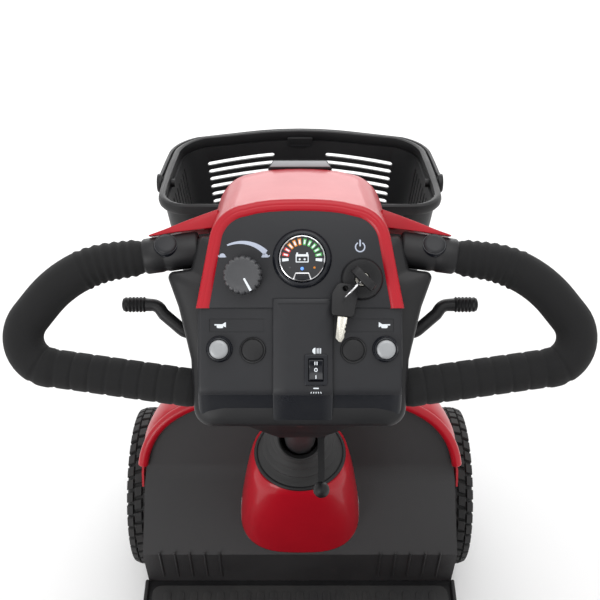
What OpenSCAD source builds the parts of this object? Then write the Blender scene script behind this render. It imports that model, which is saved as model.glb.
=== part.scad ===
/* [Vehicle] */
// Distance between the front and rear axles
wheelbase = 850; // [846:1:856]
// Half of the distance between the centres of the left and right tyres
half_track = 230; // [229:1:233]
// Outer radius of the tyres
tyre_r = 130; // [128:1:131]
// Width of the tyres
tyre_w = 84; // [78:1:86]
// Height of the top of the floor
floor_z = 155; // [154:1:158]
// Thickness of the moulded covers
cover_t = 3; // [2.5:0.5:3.5]

/* [Steering] */
// Fore and aft place of the steering stem
stem_y = 311; // [309:1:313]
// Sideways place of each kingpin
kingpin_x = 160; // [158:1:161]
// Length of the pitman arm and of both knuckle arms
steer_arm = 60; // [56:1:62]
// Height of the tiller's tilt pivot
pivot_z = 400; // [398:1:404]

/* [Tiller] */
// Lean of the tiller column from vertical
tiller_lean = 27; // [25:1:28]
// Distance along the column from the pivot to the middle of the control panel
head_reach = 470; // [466:1:476]
// Distance of the panel's middle in front of the column's axis
head_offset = 71; // [70:1:72]
// Angle between the panel's normal and the column
head_pitch = 17; // [16:1:18]
// Radius of the handlebar tube
bar_r = 11; // [10:0.5:11]
// Radius of the foam grips
grip_r = 19.5; // [19:0.5:20]

/* [Basket] */
// Nose-down angle of the basket
basket_nose = 12.8; // [12:0.2:14]
// Depth of the basket below its rim
basket_h = 150; // [140:1:155]

/* [Seat] */
// Fore and aft place of the seat post
post_y = -300; // [-302:1:-298]
// Height of the underside of the seat's swivel plate
seat_z = 430; // [428:1:434]
// Width of the seat cushion
seat_w = 440; // [430:2:444]

/* [Hidden] */
$fn = 48;
front_y = wheelbase / 2;
rear_y = -wheelbase / 2;
axle_z = tyre_r;
black = [0.09, 0.09, 0.1];
grey = [0.25, 0.25, 0.26];
red = [0.7, 0.05, 0.09];
steel = [0.55, 0.56, 0.58];
silver = [0.8, 0.8, 0.8];

// ---- General helpers ----

// A cylinder along X from x0 to x1
module x_rod(r, x0, x1, y = 0, z = 0)
    translate([x0, y, z]) rotate([0, 90, 0]) cylinder(r = r, h = x1 - x0);

// A cylinder along Y from y0 to y1
module y_rod(r, y0, y1, x = 0, z = 0)
    translate([x, y1, z]) rotate([90, 0, 0]) cylinder(r = r, h = y1 - y0);

// A cylinder along Z from z0 to z1
module z_rod(r, z0, z1, x = 0, y = 0)
    translate([x, y, z0]) cylinder(r = r, h = z1 - z0);

// A box from its lowest corner to its highest corner
module block(low, high)
    translate(low) cube(high - low);

// Both of a mirrored pair
module both_sides() {
    children();
    mirror([1, 0, 0]) children();
}

// The left or right one of a mirrored pair: side is 1 for right and -1 for left
module on_side(side)
    mirror([side < 0 ? 1 : 0, 0, 0]) children();

function flat_list(list) = [for (row = list) for (item = row) item];
function middle(ring) = [for (k = [0:2]) let (v = [for (p = ring) p[k]]) (v * [for (p = ring) 1]) / len(ring)];
function mix(a, b, t) = a + (b - a) * t;
function power(v, e) = sign(v) * pow(abs(v), e);

// Faces of the strip between row r and row r + 1 of a grid with n columns
function strip(r, n, wrap, base, turned) = [
    for (c = [0:(wrap ? n - 1 : n - 2)], half = [0, 1])
        let (
            a = base + r * n + c,
            b = base + r * n + (c + 1) % n,
            face = half == 0 ? [a, b, b + n] : [a, b + n, a + n]
        )
        turned ? [face[0], face[2], face[1]] : face
];

// Six times the volume inside a set of triangles, positive when they face outward
function volume_of(p, faces) = [for (f = faces) p[f[0]] * cross(p[f[1]], p[f[2]])] * [for (f = faces) 1];

// A solid from triangles that all face the same way, in or out
module skin(points, faces) {
    out = volume_of(points, faces) > 0;
    polyhedron(points, out ? [for (f = faces) [f[0], f[2], f[1]]] : faces);
}

// A solid through closed rings, with its two ends closed to their middles
module loft(rings) {
    n = len(rings[0]);
    first = len(rings) * n;
    ends = flat_list([for (c = [0:n - 1]) [
        [first, (c + 1) % n, c], [first + 1, first - n + c, first - n + (c + 1) % n]
    ]]);
    skin(
        concat(flat_list(rings), [middle(rings[0]), middle(rings[len(rings) - 1])]),
        concat(flat_list([for (r = [0:len(rings) - 2]) strip(r, n, true, 0, false)]), ends)
    );
}

// A thin solid between two grids of points; wrap joins the last column to the first
module sheet(outer, inner, wrap = false) {
    n = len(outer[0]);
    base = len(outer) * n;
    last = base - n;
    skins = flat_list([for (r = [0:len(outer) - 2]) concat(
        strip(r, n, wrap, 0, false), strip(r, n, wrap, base, true)
    )]);
    hems = flat_list([for (c = [0:(wrap ? n - 1 : n - 2)]) let (d = (c + 1) % n) [
        [d, c, base + c], [d, base + c, base + d],
        [last + c, last + d, base + last + d], [last + c, base + last + d, base + last + c]
    ]]);
    sides = wrap ? [] : flat_list([for (r = [0:len(outer) - 2]) let (
        a = r * n, b = a + n, c = a + n - 1, d = b + n - 1
    ) [[a, b, base + b], [a, base + b, base + a], [d, c, base + c], [d, base + c, base + d]]]);
    skin(concat(flat_list(outer), flat_list(inner)), concat(skins, hems, sides));
}

// A polyline in a plane with its inner corners rounded to the given radii
function rounded_path(pts, radii, steps = 6) = flat_list([for (i = [0:len(pts) - 1])
    (i == 0 || i == len(pts) - 1 || radii[i] == 0) ? [pts[i]] : let (
        a = (pts[i - 1] - pts[i]) / norm(pts[i - 1] - pts[i]),
        b = (pts[i + 1] - pts[i]) / norm(pts[i + 1] - pts[i]),
        half = acos(a * b) / 2,
        bis = (a + b) / norm(a + b),
        centre = pts[i] + bis * radii[i] / sin(half),
        from = pts[i] + a * radii[i] / tan(half) - centre,
        turn = sign(cross(a, b)) * (180 - 2 * half)
    ) [for (s = [0:steps]) let (q = -turn * s / steps)
        centre + [from[0] * cos(q) - from[1] * sin(q), from[0] * sin(q) + from[1] * cos(q)]]
]);

// Rings of a tube that follows a path of [x, y] points at one height
function tube_rings(path, radius, sides, z = 0) = [for (i = [0:len(path) - 1]) let (
    ahead = path[min(i + 1, len(path) - 1)] - path[max(i - 1, 0)],
    side = [-ahead[1], ahead[0]] / norm(ahead)
) [for (k = [0:sides - 1]) let (q = 360 * k / sides)
    [path[i][0] + radius * cos(q) * side[0], path[i][1] + radius * cos(q) * side[1], z + radius * sin(q)]]];

// A closed ring with rounded corners: half sizes a and b, and a roundness from 0.3 (square) to 1
function soft_ring(a, b, e, n, x = 0, y = 0) = [for (k = [0:n - 1]) let (q = 360 * k / n)
    [x + a * power(cos(q), e), y + b * power(sin(q), e)]];

// ---- Frames of the tiller, of its head and of the basket ----

module in_tiller() translate([0, stem_y, pivot_z]) rotate([tiller_lean, 0, 0]) children();

module in_head() in_tiller() translate([0, head_offset, head_reach]) rotate([head_pitch, 0, 0]) children();

module in_basket() translate([0, 363, 796]) rotate([-basket_nose, 0, 0]) children();

// ---- Chassis ----

beam_z0 = 115;
beam_z1 = 145;
rail_x = 60;
plate_x0 = 166;
plate_x1 = 172;
eye_r = 10;

module kingpin_boss() difference() {
    z_rod(16, 100, 160, kingpin_x, front_y);
    z_rod(8.05, 90, 170, kingpin_x, front_y);
}

// A horizontal lug for a tie-down strap's hook
module eyelet(y, z) difference() {
    block([106, y - 17, z], [142, y + 17, z + 6]);
    z_rod(eye_r, z - 1, z + 7, 124, y);
}

module main_frame() color(grey) difference() {
    union() {
        both_sides() {
            block([rail_x - 15, -352, 100], [rail_x + 15, 440, 140]);
            block([rail_x, front_y - 15, beam_z0], [kingpin_x - 12, front_y + 15, beam_z1]);
            kingpin_boss();
            difference() {
                block([plate_x0, -560, 95], [plate_x1, -335, 250]);
                x_rod(26, plate_x0 - 1, plate_x1 + 1, rear_y, axle_z);
            }
        }
        block([-plate_x0, -352, 105], [plate_x0, -336, 135]);
        block([-plate_x0, -558, 150], [plate_x0, -540, 175]);
        block([-plate_x0, -540, 236], [plate_x0, -526, 250]);
        block([-rail_x, post_y - 30, 105], [rail_x, post_y + 30, 135]);
        block([-rail_x, -60, 105], [rail_x, -30, 135]);
        block([-rail_x, 200, 105], [rail_x, 225, 135]);
        block([-rail_x, stem_y - 30, 105], [rail_x, stem_y + 30, 135]);
        block([-rail_x, front_y - 15, beam_z0], [rail_x, front_y + 15, beam_z1]);
        z_rod(24, 100, 330, 0, stem_y);
        z_rod(27, 100, 395, 0, post_y);
        both_sides() {
            eyelet(455, 118);
            eyelet(-321, 112);
        }
        block([-50, -566, 120], [50, -558, 200]);
    }
    z_rod(17, 90, 340, 0, stem_y);
    z_rod(22.1, 101, 400, 0, post_y);
    for (x = [-30, 30], z = [135, 185]) y_rod(4.25, -570, -530, x, z);
    x_rod(10.06, -180, -160, motor_y, motor_z);
}

module floor_pan() color(black) difference() {
    union() {
        block([-235, -150, floor_z - 12], [235, 236, floor_z]);
        both_sides() block([229, -150, floor_z], [235, 236, floor_z + 8]);
        both_sides() block([120, -150, 108], [235, 236, floor_z - 12]);
    }
    both_sides() block([124, -146, 100], [231, 232, floor_z - 15]);
}

module floor_mat() color(grey) difference() {
    block([-224, -142, floor_z + 0.2], [224, 228, floor_z + 4]);
    for (i = [-7:7]) block([i * 28 - 4, -130, floor_z + 2.5], [i * 28 + 4, 216, floor_z + 5]);
}

// Nose of the front fairing: one arch-shaped row for each place along Y
nose_rows = [[352, 238, 404], [400, 238, 409], [440, 226, 400], [480, 203, 380], [520, 168, 350], [550, 130, 318], [572, 86, 288]];
nose_foot = 273;
function wall_y(z) = 262 + 0.6 * (z - floor_z);
function nose_row(i, inset, n = 24) = let (
    w = nose_rows[i][1] - inset, h = nose_rows[i][2] - nose_foot - inset
) [for (k = [0:n]) let (q = 180 * k / n, z = nose_foot + h * pow(max(sin(q), 0), 0.75))
    [w * power(cos(q), 0.75), i == 0 ? max(wall_y(z) - 4, 320) : nose_rows[i][0] - (i == len(nose_rows) - 1 ? inset : 0), z]];
function cowl_ring(a, b, z, y) = [for (p = soft_ring(a, b, 0.7, 28)) [p[0], y + p[1], z]];
cowl_levels = [[158, 92, 62, 300], [240, 90, 62, 302], [320, 80, 64, 306], [370, 70, 64, 310], [389, 62, 60, 311]];

module front_shroud() color(red) {
    difference() {
        sheet([for (i = [0:6]) nose_row(i, 0)], [for (i = [0:6]) nose_row(i, cover_t)]);
        z_rod(66, 350, 420, 0, stem_y);
    }
    sheet(
        [for (v = cowl_levels) cowl_ring(v[1], v[2], v[0], v[3])],
        [for (v = cowl_levels) cowl_ring(v[1] - cover_t, v[2] - cover_t, v[0], v[3])], true
    );
}

module footwell_panel() color(grey) {
    difference() {
        union() {
            block([-234, 237, floor_z - 12], [234, 240, 270]);
            block([-234, 240, 267], [234, wall_y(270) - 3, 270]);
        }
        block([-94, 230, floor_z - 14], [94, 370, 275]);
    }
    difference() {
        rotate([90, 0, 90]) translate([0, 0, -231]) linear_extrude(462) polygon([
            [wall_y(270), 270], [wall_y(400), 400], [wall_y(400) + 3, 398], [wall_y(272) + 3, 270]
        ]);
        translate([0, 450, 272]) rotate([90, 0, 0]) linear_extrude(200) difference() {
            translate([-260, -10]) square([520, 200]);
            polygon([for (k = [0:24]) let (q = 180 * k / 24)
                [232 * power(cos(q), 0.75), -4 + 128 * pow(max(sin(q), 0), 0.75)]]);
        }
        block([-95, 300, 260], [95, 384, 330]);
        block([-84, 300, 329], [84, 384, 372]);
        z_rod(78, 300, 420, 0, stem_y + 10);
    }
}

module bumper_bar(y0, y1, w, z0, z1) {
    half = (y1 - y0) / 2;
    block([half - w, y0, z0], [w - half, y1, z1]);
    both_sides() z_rod(half, z0, z1, w - half, y0 + half);
}

module bumpers() color(black) {
    bumper_bar(568, 592, 88, 170, 250);
    block([-40, 440.2, 118], [40, 568, 142]);
    block([-40, 548, 142], [40, 568, 200]);
    bumper_bar(-588, -566, 150, 205, 262);
    block([-40, -566, 205], [40, -541, 213]);
    block([-40, -548, 175.2], [40, -541, 213]);
}

module headlight() color(silver) translate([0, 572.5, 276]) {
    y_rod(15, 0, 14);
    y_rod(8, -6, 0);
}

rear_rows = [
    [-152, 40, 250, 262], [-152, 236, 163, 372], [-200, 240, 163, 396], [-262, 250, 163, 400],
    [-284, 254, 163, 400], [-288, 258, 272, 400], [-425, 264, 276, 398], [-520, 262, 276, 386],
    [-556, 248, 278, 360], [-560, 40, 290, 320]
];
function rear_row(i, inset, n = 24) = let (v = rear_rows[i], w = v[1] - inset, h = v[3] - v[2] - inset)
    [for (k = [0:n]) let (q = 180 * k / n)
        [w * power(cos(q), 0.6), v[0] + (i < 2 ? -inset : i > 7 ? inset : 0), v[2] + h * pow(max(sin(q), 0), 0.5)]];

module rear_shroud() color(red) difference() {
    sheet([for (i = [0:9]) rear_row(i, 0)], [for (i = [0:9]) rear_row(i, cover_t)]);
    z_rod(30, 350, 420, 0, post_y);
}

module tail_lights() color([0.7, 0.02, 0.02]) both_sides() {
    y_rod(20, -572, -560.5, 185, 320);
    block([100, -592, 222], [140, -588.2, 246]);
}

module battery_packs() color(black) both_sides() {
    block([28, -268, 142], [178, -164, 300]);
    block([60, -226, 300], [146, -206, 318]);
}

module controller() color(steel) {
    block([44, -500, 186], [158, -380, 228]);
    for (i = [0:5]) block([50 + i * 18, -496, 228], [54 + i * 18, -384, 236]);
}

motor_y = -396;
motor_z = 222;

module drive_motor() color(black) {
    x_rod(44, -150, -33, motor_y, motor_z);
    x_rod(34, -162, -150, motor_y, motor_z);
    x_rod(9, -33, -31, motor_y, motor_z);
}

module transaxle() color(steel) difference() {
    union() {
        x_rod(60, -30, 30, rear_y, axle_z);
        x_rod(50, -30, 30, motor_y, motor_z);
        both_sides() x_rod(24, 30, 174, rear_y, axle_z);
        block([-30, rear_y - 55, axle_z], [30, motor_y + 44, motor_z]);
    }
    both_sides() x_rod(12.1, 30, 180, rear_y, axle_z);
}

tip_y = -566;

module anti_tip_bar() color(black) {
    both_sides() {
        block([92, -578, 110], [104, -558.2, 172]);
        block([92, -578, 40], [104, -556, 116]);
    }
    x_rod(5, -129, 129, tip_y, 50);
    both_sides() x_rod(9, 129, 132, tip_y, 50);
}

module anti_tip_wheels() color(grey) both_sides() difference() {
    x_rod(26, 106, 128, tip_y, 50);
    x_rod(5.05, 100, 130, tip_y, 50);
}

module freewheel_lever() color([0.8, 0.5, 0.05]) {
    x_rod(10, -178, -163, motor_y, motor_z);
    block([-178, motor_y - 6, motor_z], [-172, motor_y + 6, motor_z + 44]);
}

// ---- Steering ----

rod_z_left = 85;
rod_z_right = 73;
pitman_y = stem_y - steer_arm;

module steering_stem() color(steel) {
    z_rod(12.5, 90, 376, 0, stem_y);
    z_rod(18, 90, 99, 0, stem_y);
    block([-12, pitman_y, 92], [12, stem_y, 99]);
    z_rod(12, 92, 99, 0, pitman_y);
    z_rod(5, 66, 92, 0, pitman_y);
    z_rod(34, 370, 378, 0, stem_y);
    difference() {
        union() both_sides() {
            block([27, stem_y - 17, 378], [34, stem_y + 17, pivot_z]);
            x_rod(17, 27, 34, stem_y, pivot_z);
        }
        x_rod(8.05, -40, 40, stem_y, pivot_z);
    }
    x_rod(8, -38, 38, stem_y, pivot_z);
    both_sides() x_rod(12, 34.2, 38, stem_y, pivot_z);
}

module stem_bushes() color([0.75, 0.6, 0.3]) difference() {
    union() {
        z_rod(17, 101, 125, 0, stem_y);
        z_rod(17, 306, 330, 0, stem_y);
        z_rod(22, 330, 334, 0, stem_y);
    }
    z_rod(12.55, 90, 340, 0, stem_y);
}

// A tie rod between the pitman's stud and one knuckle's stud
module tie_rod(side, z) color(steel) on_side(side) {
    from = [0, pitman_y];
    to = [kingpin_x, front_y - steer_arm];
    gap = norm(to - from);
    difference() {
        translate([from[0], from[1], z]) rotate([0, 0, atan2(to[1] - from[1], to[0] - from[0])]) union() {
            x_rod(3.6, 8, gap - 8);
            cylinder(r = 10, h = 8, center = true);
            translate([gap, 0, 0]) cylinder(r = 10, h = 8, center = true);
        }
        z_rod(5.06, z - 6, z + 6, from[0], from[1]);
        z_rod(5.06, z - 6, z + 6, to[0], to[1]);
    }
}

module knuckle(side, rod_z) color(steel) on_side(side) {
    block([178, front_y - 14, 91], [185, front_y + 14, 169]);
    for (z = [[91, 98.5], [161.5, 169]]) {
        block([kingpin_x, front_y - 14, z[0]], [180, front_y + 14, z[1]]);
        z_rod(14, z[0], z[1], kingpin_x, front_y);
    }
    z_rod(8, 91, 169, kingpin_x, front_y);
    block([kingpin_x - 9, front_y - steer_arm, 91], [kingpin_x + 9, front_y, 98.5]);
    z_rod(9, 91, 98.5, kingpin_x, front_y - steer_arm);
    z_rod(5, rod_z - 5, 92, kingpin_x, front_y - steer_arm);
    x_rod(14, 185, 192, front_y, axle_z);
    x_rod(8, 185, 246, front_y, axle_z);
    x_rod(12, 246, 252, front_y, axle_z);
}

// ---- Wheels ----

rim_r = 78;
function arc_points(c, r, a0, a1, n = 8) = [for (k = [0:n]) let (q = mix(a0, a1, k / n)) [c[0] + r * cos(q), c[1] + r * sin(q)]];

module about_axle(x, y) translate([x, y, axle_z]) rotate([0, 90, 0]) children();

module tyre(side, y) color(black) about_axle(side * half_track, y) rotate_extrude($fn = 72)
    polygon(concat(
        [[rim_r + 0.2, -30]], arc_points([rim_r + 20, -22], tyre_w / 2 - 22, 180, 260, 4),
        arc_points([tyre_r - 22, -tyre_w / 2 + 22], 22, -75, -15, 6),
        [[tyre_r, 0]],
        arc_points([tyre_r - 22, tyre_w / 2 - 22], 22, 15, 75, 6),
        arc_points([rim_r + 20, 22], tyre_w / 2 - 22, 100, 180, 4), [[rim_r + 0.2, 30]]
    ));

// The wheel's disc, with five spokes' worth of openings and a bore of radius bore_r
module rim(side, y, bore_r) color(silver) on_side(side) about_axle(half_track, y) {
    difference() {
        union() {
            difference() {
                cylinder(r = rim_r, h = 60, center = true);
                cylinder(r = rim_r - 5, h = 62, center = true);
            }
            translate([0, 0, -8]) cylinder(r = rim_r - 4, h = 8);
            translate([0, 0, -22]) cylinder(r = 22, h = 34);
        }
        translate([0, 0, -40]) cylinder(r = bore_r, h = 90);
        for (k = [0:4]) rotate([0, 0, 72 * k]) translate([48, 0, -20]) cylinder(r = 15, h = 40);
    }
}

module front_rim(side) {
    rim(side, front_y, 14.1);
    color(steel) on_side(side) about_axle(half_track, front_y) for (z = [-22, 3]) translate([0, 0, z]) difference() {
        cylinder(r = 14, h = 9);
        translate([0, 0, -1]) cylinder(r = 8.05, h = 12);
    }
}

module rear_rim(side) {
    rim(side, rear_y, 12.1);
    color(steel) on_side(side) {
        x_rod(12, 34, half_track + 13, rear_y, axle_z);
        x_rod(17, half_track + 13, half_track + 19, rear_y, axle_z);
    }
}

// ---- Tiller ----

head_top_n = -52;

lever_n = -75;
lever_u = -32;
bar_n = -36;

module tiller_column() color(grey) {
    in_tiller() difference() {
        union() {
            cylinder(r = 20, h = 392);
            x_rod(20, -26.5, 26.5);
        }
        x_rod(8.06, -30, 30);
        translate([0, 0, 30]) cylinder(r = 17, h = 370);
    }
    in_head() difference() {
        block([-26, -104, head_top_n - 6], [26, 70, head_top_n]);
        for (u = [-2, 20, 42]) z_rod(7, head_top_n - 10, head_top_n + 4, 0, u);
    }
    in_head() both_sides() for (u = [-93, 57]) block([8, u - 6, head_top_n - 1], [20, u + 6, bar_n - bar_r]);
    in_head() {
        for (u = [-50, -23.7]) block([-9, u, lever_n - 11], [9, u + 9.7, head_top_n - 5]);
        y_rod(3.95, lever_u - 9, lever_u + 9, 0, lever_n);
    }
}

function tilted_ring(r, lift, lean, n = 28) = [for (k = [0:n - 1]) let (q = 360 * k / n, y = r * sin(q))
    [r * cos(q), stem_y + y * cos(lean) - lift * sin(lean), pivot_z + y * sin(lean) + lift * cos(lean)]];

module tiller_gaiter() color(black) {
    radii = [60, 58, 50, 53, 44, 47, 38, 40, 31, 28];
    rows = len(radii) - 1;
    rings = [for (i = [0:rows]) tilted_ring(radii[i], mix(-9.5, 96, i / rows), tiller_lean * i / rows)];
    inner = [for (i = [0:rows]) tilted_ring(radii[i] - 2.5, mix(-9.5, 96, i / rows), tiller_lean * i / rows)];
    sheet(rings, inner, true);
}

module tilt_lever() color(black) in_tiller() {
    difference() {
        translate([0, 0, 150]) x_rod(9, 21, 31);
        translate([0, 0, 150]) x_rod(4, 20, 32);
    }
    block([22, -70, 146], [30, -8, 154]);
    translate([26, -72, 150]) sphere(r = 10);
}

// Outline of the hood's mouth, drawn in from the outer edge by inset
function arch(inset, lift = 0, n = 8) = let (
    c = [47, 52 + lift], r = 38 - inset, side = [97 - inset * 1.08, -7],
    right = concat([side], arc_points(c, r, 9, 80, n), [[28, 94 + lift - inset]])
) concat(right, [[0, 95 + lift - inset]], [for (i = [len(right) - 1:-1:0]) [-right[i][0], right[i][1]]]);

hood_rows = [[10, 2, 0], [2, 5, 0], [0, 2, 0], [1, -30, 14], [1, -65, 29], [2, -100, 44], [8, -118, 44], [22, -128, 36]];
function hood_row(i, t) = let (v = hood_rows[i], pts = arch(v[0] + t, v[2])) [for (p = pts) [
    p[0], p[1] + (p[1] < 0 ? v[2] * 0.1 : 0), v[1] - (i == 0 ? 0 : i < 3 ? t : 0)]];

// A fairing over one arm of the handlebar
module wing() translate([0, 0, -88]) linear_extrude(60)
    polygon([[79, 90], [79, 70.8], [118, 66.2], [146, 61.4], [146, 64], [112, 76]]);

module head_hood() color(red) in_head() {
    difference() {
        sheet([for (i = [1:7]) hood_row(i, 0)], [for (i = [1:7]) hood_row(i, cover_t)]);
        both_sides() block([60, 33, -55], [110, 71, -17]);
    }
    both_sides() wing();
}

// Face of the lower half of the panel, from its bottom edge up to the hood
function face_outline(inset) = concat(
    [[97 - inset, -7]], [[97 - inset, -86]], arc_points([83, -104], 14 - inset, 0, -80, 5),
    [[0, -120 + inset]], [for (p = arc_points([83, -104], 14 - inset, -80, 0, 5)) [-p[0], p[1]]],
    [[-97 + inset, -86]], [[-97 + inset, -7]]
);

dial_x = -53;
dial_u = 23.5;
gauge_x = 2;
gauge_u = 39;
key_x = 57.5;
key_u = 20;
horn_x = [-75, 79.5];
horn_u = -45;
blank_x = [-44, 49.5];
blank_u = -46;
rocker_x = 14.7;
rocker_u = -64;

module panel_hole(x, u, r) z_rod(r, -12, 12, x, u);

module control_panel() color(black) in_head() difference() {
    union() {
        translate([0, 0, -2]) linear_extrude(5) polygon(arch(11));
        translate([0, 0, -3]) linear_extrude(4) polygon(face_outline(1.5));
        translate([0, 0, -14]) linear_extrude(12) difference() {
            polygon(face_outline(1.5));
            polygon(face_outline(4.5));
            translate([-80, -12]) square([160, 20]);
        }
        translate([0, 0, 1]) linear_extrude(4) polygon([[-25, -114], [31, -114], [31, 2], [-25, 2]]);
    }
    panel_hole(dial_x, dial_u, 5.06);
    panel_hole(gauge_x, gauge_u, 24.2);
    panel_hole(key_x, key_u, 14.2);
    for (x = horn_x) panel_hole(x, horn_u, 9.2);
    for (x = blank_x) panel_hole(x, blank_u, 9.2);
    block([rocker_x - 6.7, rocker_u - 10.5, -12], [rocker_x + 6.7, rocker_u + 10.5, 12]);
}

// Housing behind the panel: outline of its front, with shoulders for the arms
shield = concat(
    [[96, 62]], [[104, 30]], [[128, 28]], [[116, -6]], [[104, -56]], arc_points([81, -100], 20, 0, -80, 5),
    [for (p = arc_points([81, -100], 20, -80, 0, 5)) [-p[0], p[1]]],
    [[-104, -56]], [[-116, -6]], [[-128, 28]], [[-104, 30]], [[-96, 62]]
);

module head_housing() color(black) in_head() difference() {
    union() {
        translate([0, 0, -100]) linear_extrude(84) difference() {
            polygon(shield);
            polygon([for (p = shield) p * 0.965 + [0, -1.5]]);
        }
        difference() {
            hull() {
                translate([0, 0, -103]) linear_extrude(3) polygon(shield);
                translate([0, -128, -176]) rotate([-head_pitch, 0, 0]) cylinder(r = 34, h = 3, $fn = 32);
            }
            hull() {
                translate([0, 0, -99.9]) linear_extrude(3) polygon([for (p = shield) p * 0.965 + [0, -1.5]]);
                translate([0, -128, -173]) rotate([-head_pitch, 0, 0]) cylinder(r = 31, h = 3, $fn = 32);
            }
        }
    }
    translate([0, -74, 0]) rotate([-head_pitch, 0, 0]) translate([0, 0, -220]) cylinder(r = 23, h = 200);
    loft([for (i = [1:7]) hood_row(i, -0.4)]);
    block([-94, 40, -60], [94, 80, -10]);
    both_sides() {
        block([60, 30.5, -56], [140, 80, -10]);
        x_rod(20.5, 80, 140, -85, -36);
        block([80, lever_u - 11, lever_n - 30], [140, lever_u + 11, lever_n + 30]);
    }
}

// One side of the handlebar loop, in the head's plane, from the top middle round to the bottom middle
loop = rounded_path([[0, 60], [55, 56], [223, 32.5], [294.5, -57.6], [60, -91], [0, -94]], [0, 60, 110, 30, 60, 0], 7);
function loop_between(x0, u_over, x1) = [for (i = [0:len(loop) - 1]) let (p = loop[i])
    if ((p[1] > u_over && p[0] > x0) || (p[1] <= u_over && p[0] > x1)) p];
top_arm = [223, 32.5] - [55, 56];
low_arm = [294.5, -57.6] - [60, -91];
function on_top_arm(x) = [x, 56 + (x - 55) * top_arm[1] / top_arm[0]];
function on_low_arm(x) = [x, -91 + (x - 60) * low_arm[1] / low_arm[0]];

module handlebar() color(steel) in_head() {
    whole = concat(loop, [for (i = [len(loop) - 2:-1:1]) [-loop[i][0], loop[i][1]]]);
    n = len(whole);
    sides = 16;
    rings = [for (i = [0:n - 1]) let (
        ahead = whole[(i + 1) % n] - whole[(i + n - 1) % n], side = [-ahead[1], ahead[0]] / norm(ahead)
    ) [for (k = [0:sides - 1]) let (q = 360 * k / sides)
        [whole[i][0] + bar_r * cos(q) * side[0], whole[i][1] + bar_r * cos(q) * side[1], bar_n + bar_r * sin(q)]]];
    faces = flat_list([for (i = [0:n - 1], k = [0:sides - 1]) let (
        a = i * sides + k, b = i * sides + (k + 1) % sides, c = ((i + 1) % n) * sides + (k + 1) % sides,
        d = ((i + 1) % n) * sides + k
    ) [[a, c, b], [a, d, c]]]);
    skin(flat_list(rings), faces);
}

module grips() color(black) in_head() both_sides() {
    path = concat([on_top_arm(151)], loop_between(160, 0, 240), [on_low_arm(102)]);
    thick = [for (i = [0:len(path) - 1]) path[i][1] > 20 ? mix(17.5, grip_r, min(1, (path[i][0] - 151) / 60)) : grip_r - 0.5];
    outer = [for (i = [0:len(path) - 1]) tube_rings(path, thick[i], 16, bar_n)[i]];
    sheet(outer, tube_rings(path, bar_r + 0.5, 16, bar_n), true);
}

module arm_sleeves() color(black) in_head() both_sides() {
    a = on_top_arm(99);
    b = on_top_arm(150);
    lean = atan2(b[1] - a[1], b[0] - a[0]);
    difference() {
        union() {
            translate([a[0], a[1], bar_n]) rotate([0, 0, lean]) x_rod(17.4, 0, norm(b - a));
            translate([on_top_arm(128)[0], on_top_arm(128)[1], bar_n]) rotate([-27, 0, 0]) cylinder(r = 10.5, h = 19.5);
        }
        translate([a[0], a[1], bar_n]) rotate([0, 0, lean]) x_rod(bar_r + 0.4, -2, norm(b - a) + 2);
    }
}

module battery_gauge() color(black) in_head() translate([gauge_x, gauge_u, 0]) {
    difference() {
        union() {
            translate([0, 0, 3.1]) cylinder(r1 = 27.5, r2 = 25.5, h = 4);
            translate([0, 0, -18]) cylinder(r = 24, h = 21.1);
        }
        translate([0, 0, 4]) cylinder(r = 21.5, h = 5);
    }
    color(silver) translate([0, 0, 4.2]) difference() {
        cylinder(r = 21.3, h = 3.4);
        translate([0, 0, 1]) cylinder(r = 19.8, h = 4);
    }
}

module speed_dial() color(grey) in_head() translate([dial_x, dial_u, 3.6]) {
    difference() {
        cylinder(r1 = 18.3, r2 = 16.5, h = 13);
        for (k = [0:17]) rotate([0, 0, 20 * k]) translate([19.6, 0, -1]) cylinder(r = 2.4, h = 15);
    }
    translate([0, 0, -16]) cylinder(r = 5, h = 16);
}

module key_switch() color(black) in_head() translate([key_x, key_u, 0]) {
    difference() {
        union() {
            translate([0, 0, 3.1]) cylinder(r1 = 19.5, r2 = 18.5, h = 5);
            translate([0, 0, -26]) cylinder(r = 14, h = 29.1);
        }
        translate([0, 0, -20]) cylinder(r = 6.6, h = 40);
    }
}

module key_set() in_head() translate([key_x, key_u, 0]) {
    color(steel) translate([0, 0, -19]) cylinder(r = 6.5, h = 27);
    color(black) rotate([0, 0, 45]) {
        block([-1.6, -9, 8.4], [1.6, 9, 16]);
        difference() {
            block([-4, -13, 15], [4, 13, 37]);
            translate([0, 0, 31]) x_rod(3.2, -5, 5);
        }
    }
    color(steel) translate([-9, -9, 22]) rotate([0, 0, -45]) rotate([0, 90, 0])
        rotate_extrude() translate([12, 0]) circle(r = 0.9);
    color(black) translate([-22, -40, 10]) rotate([0, 0, 20]) {
        difference() {
            block([-9, -8, 0], [9, 16, 6]);
            z_rod(3, -1, 8, 0, 10);
        }
        block([-3.5, -30, 2], [3.5, -8, 4]);
    }
}

module horn_button(i) color(silver) in_head() translate([horn_x[i], horn_u, 0]) {
    translate([0, 0, 6.2]) cylinder(r = 8.6, h = 4.8);
    translate([0, 0, -14]) cylinder(r = 6.2, h = 21);
}

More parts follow.
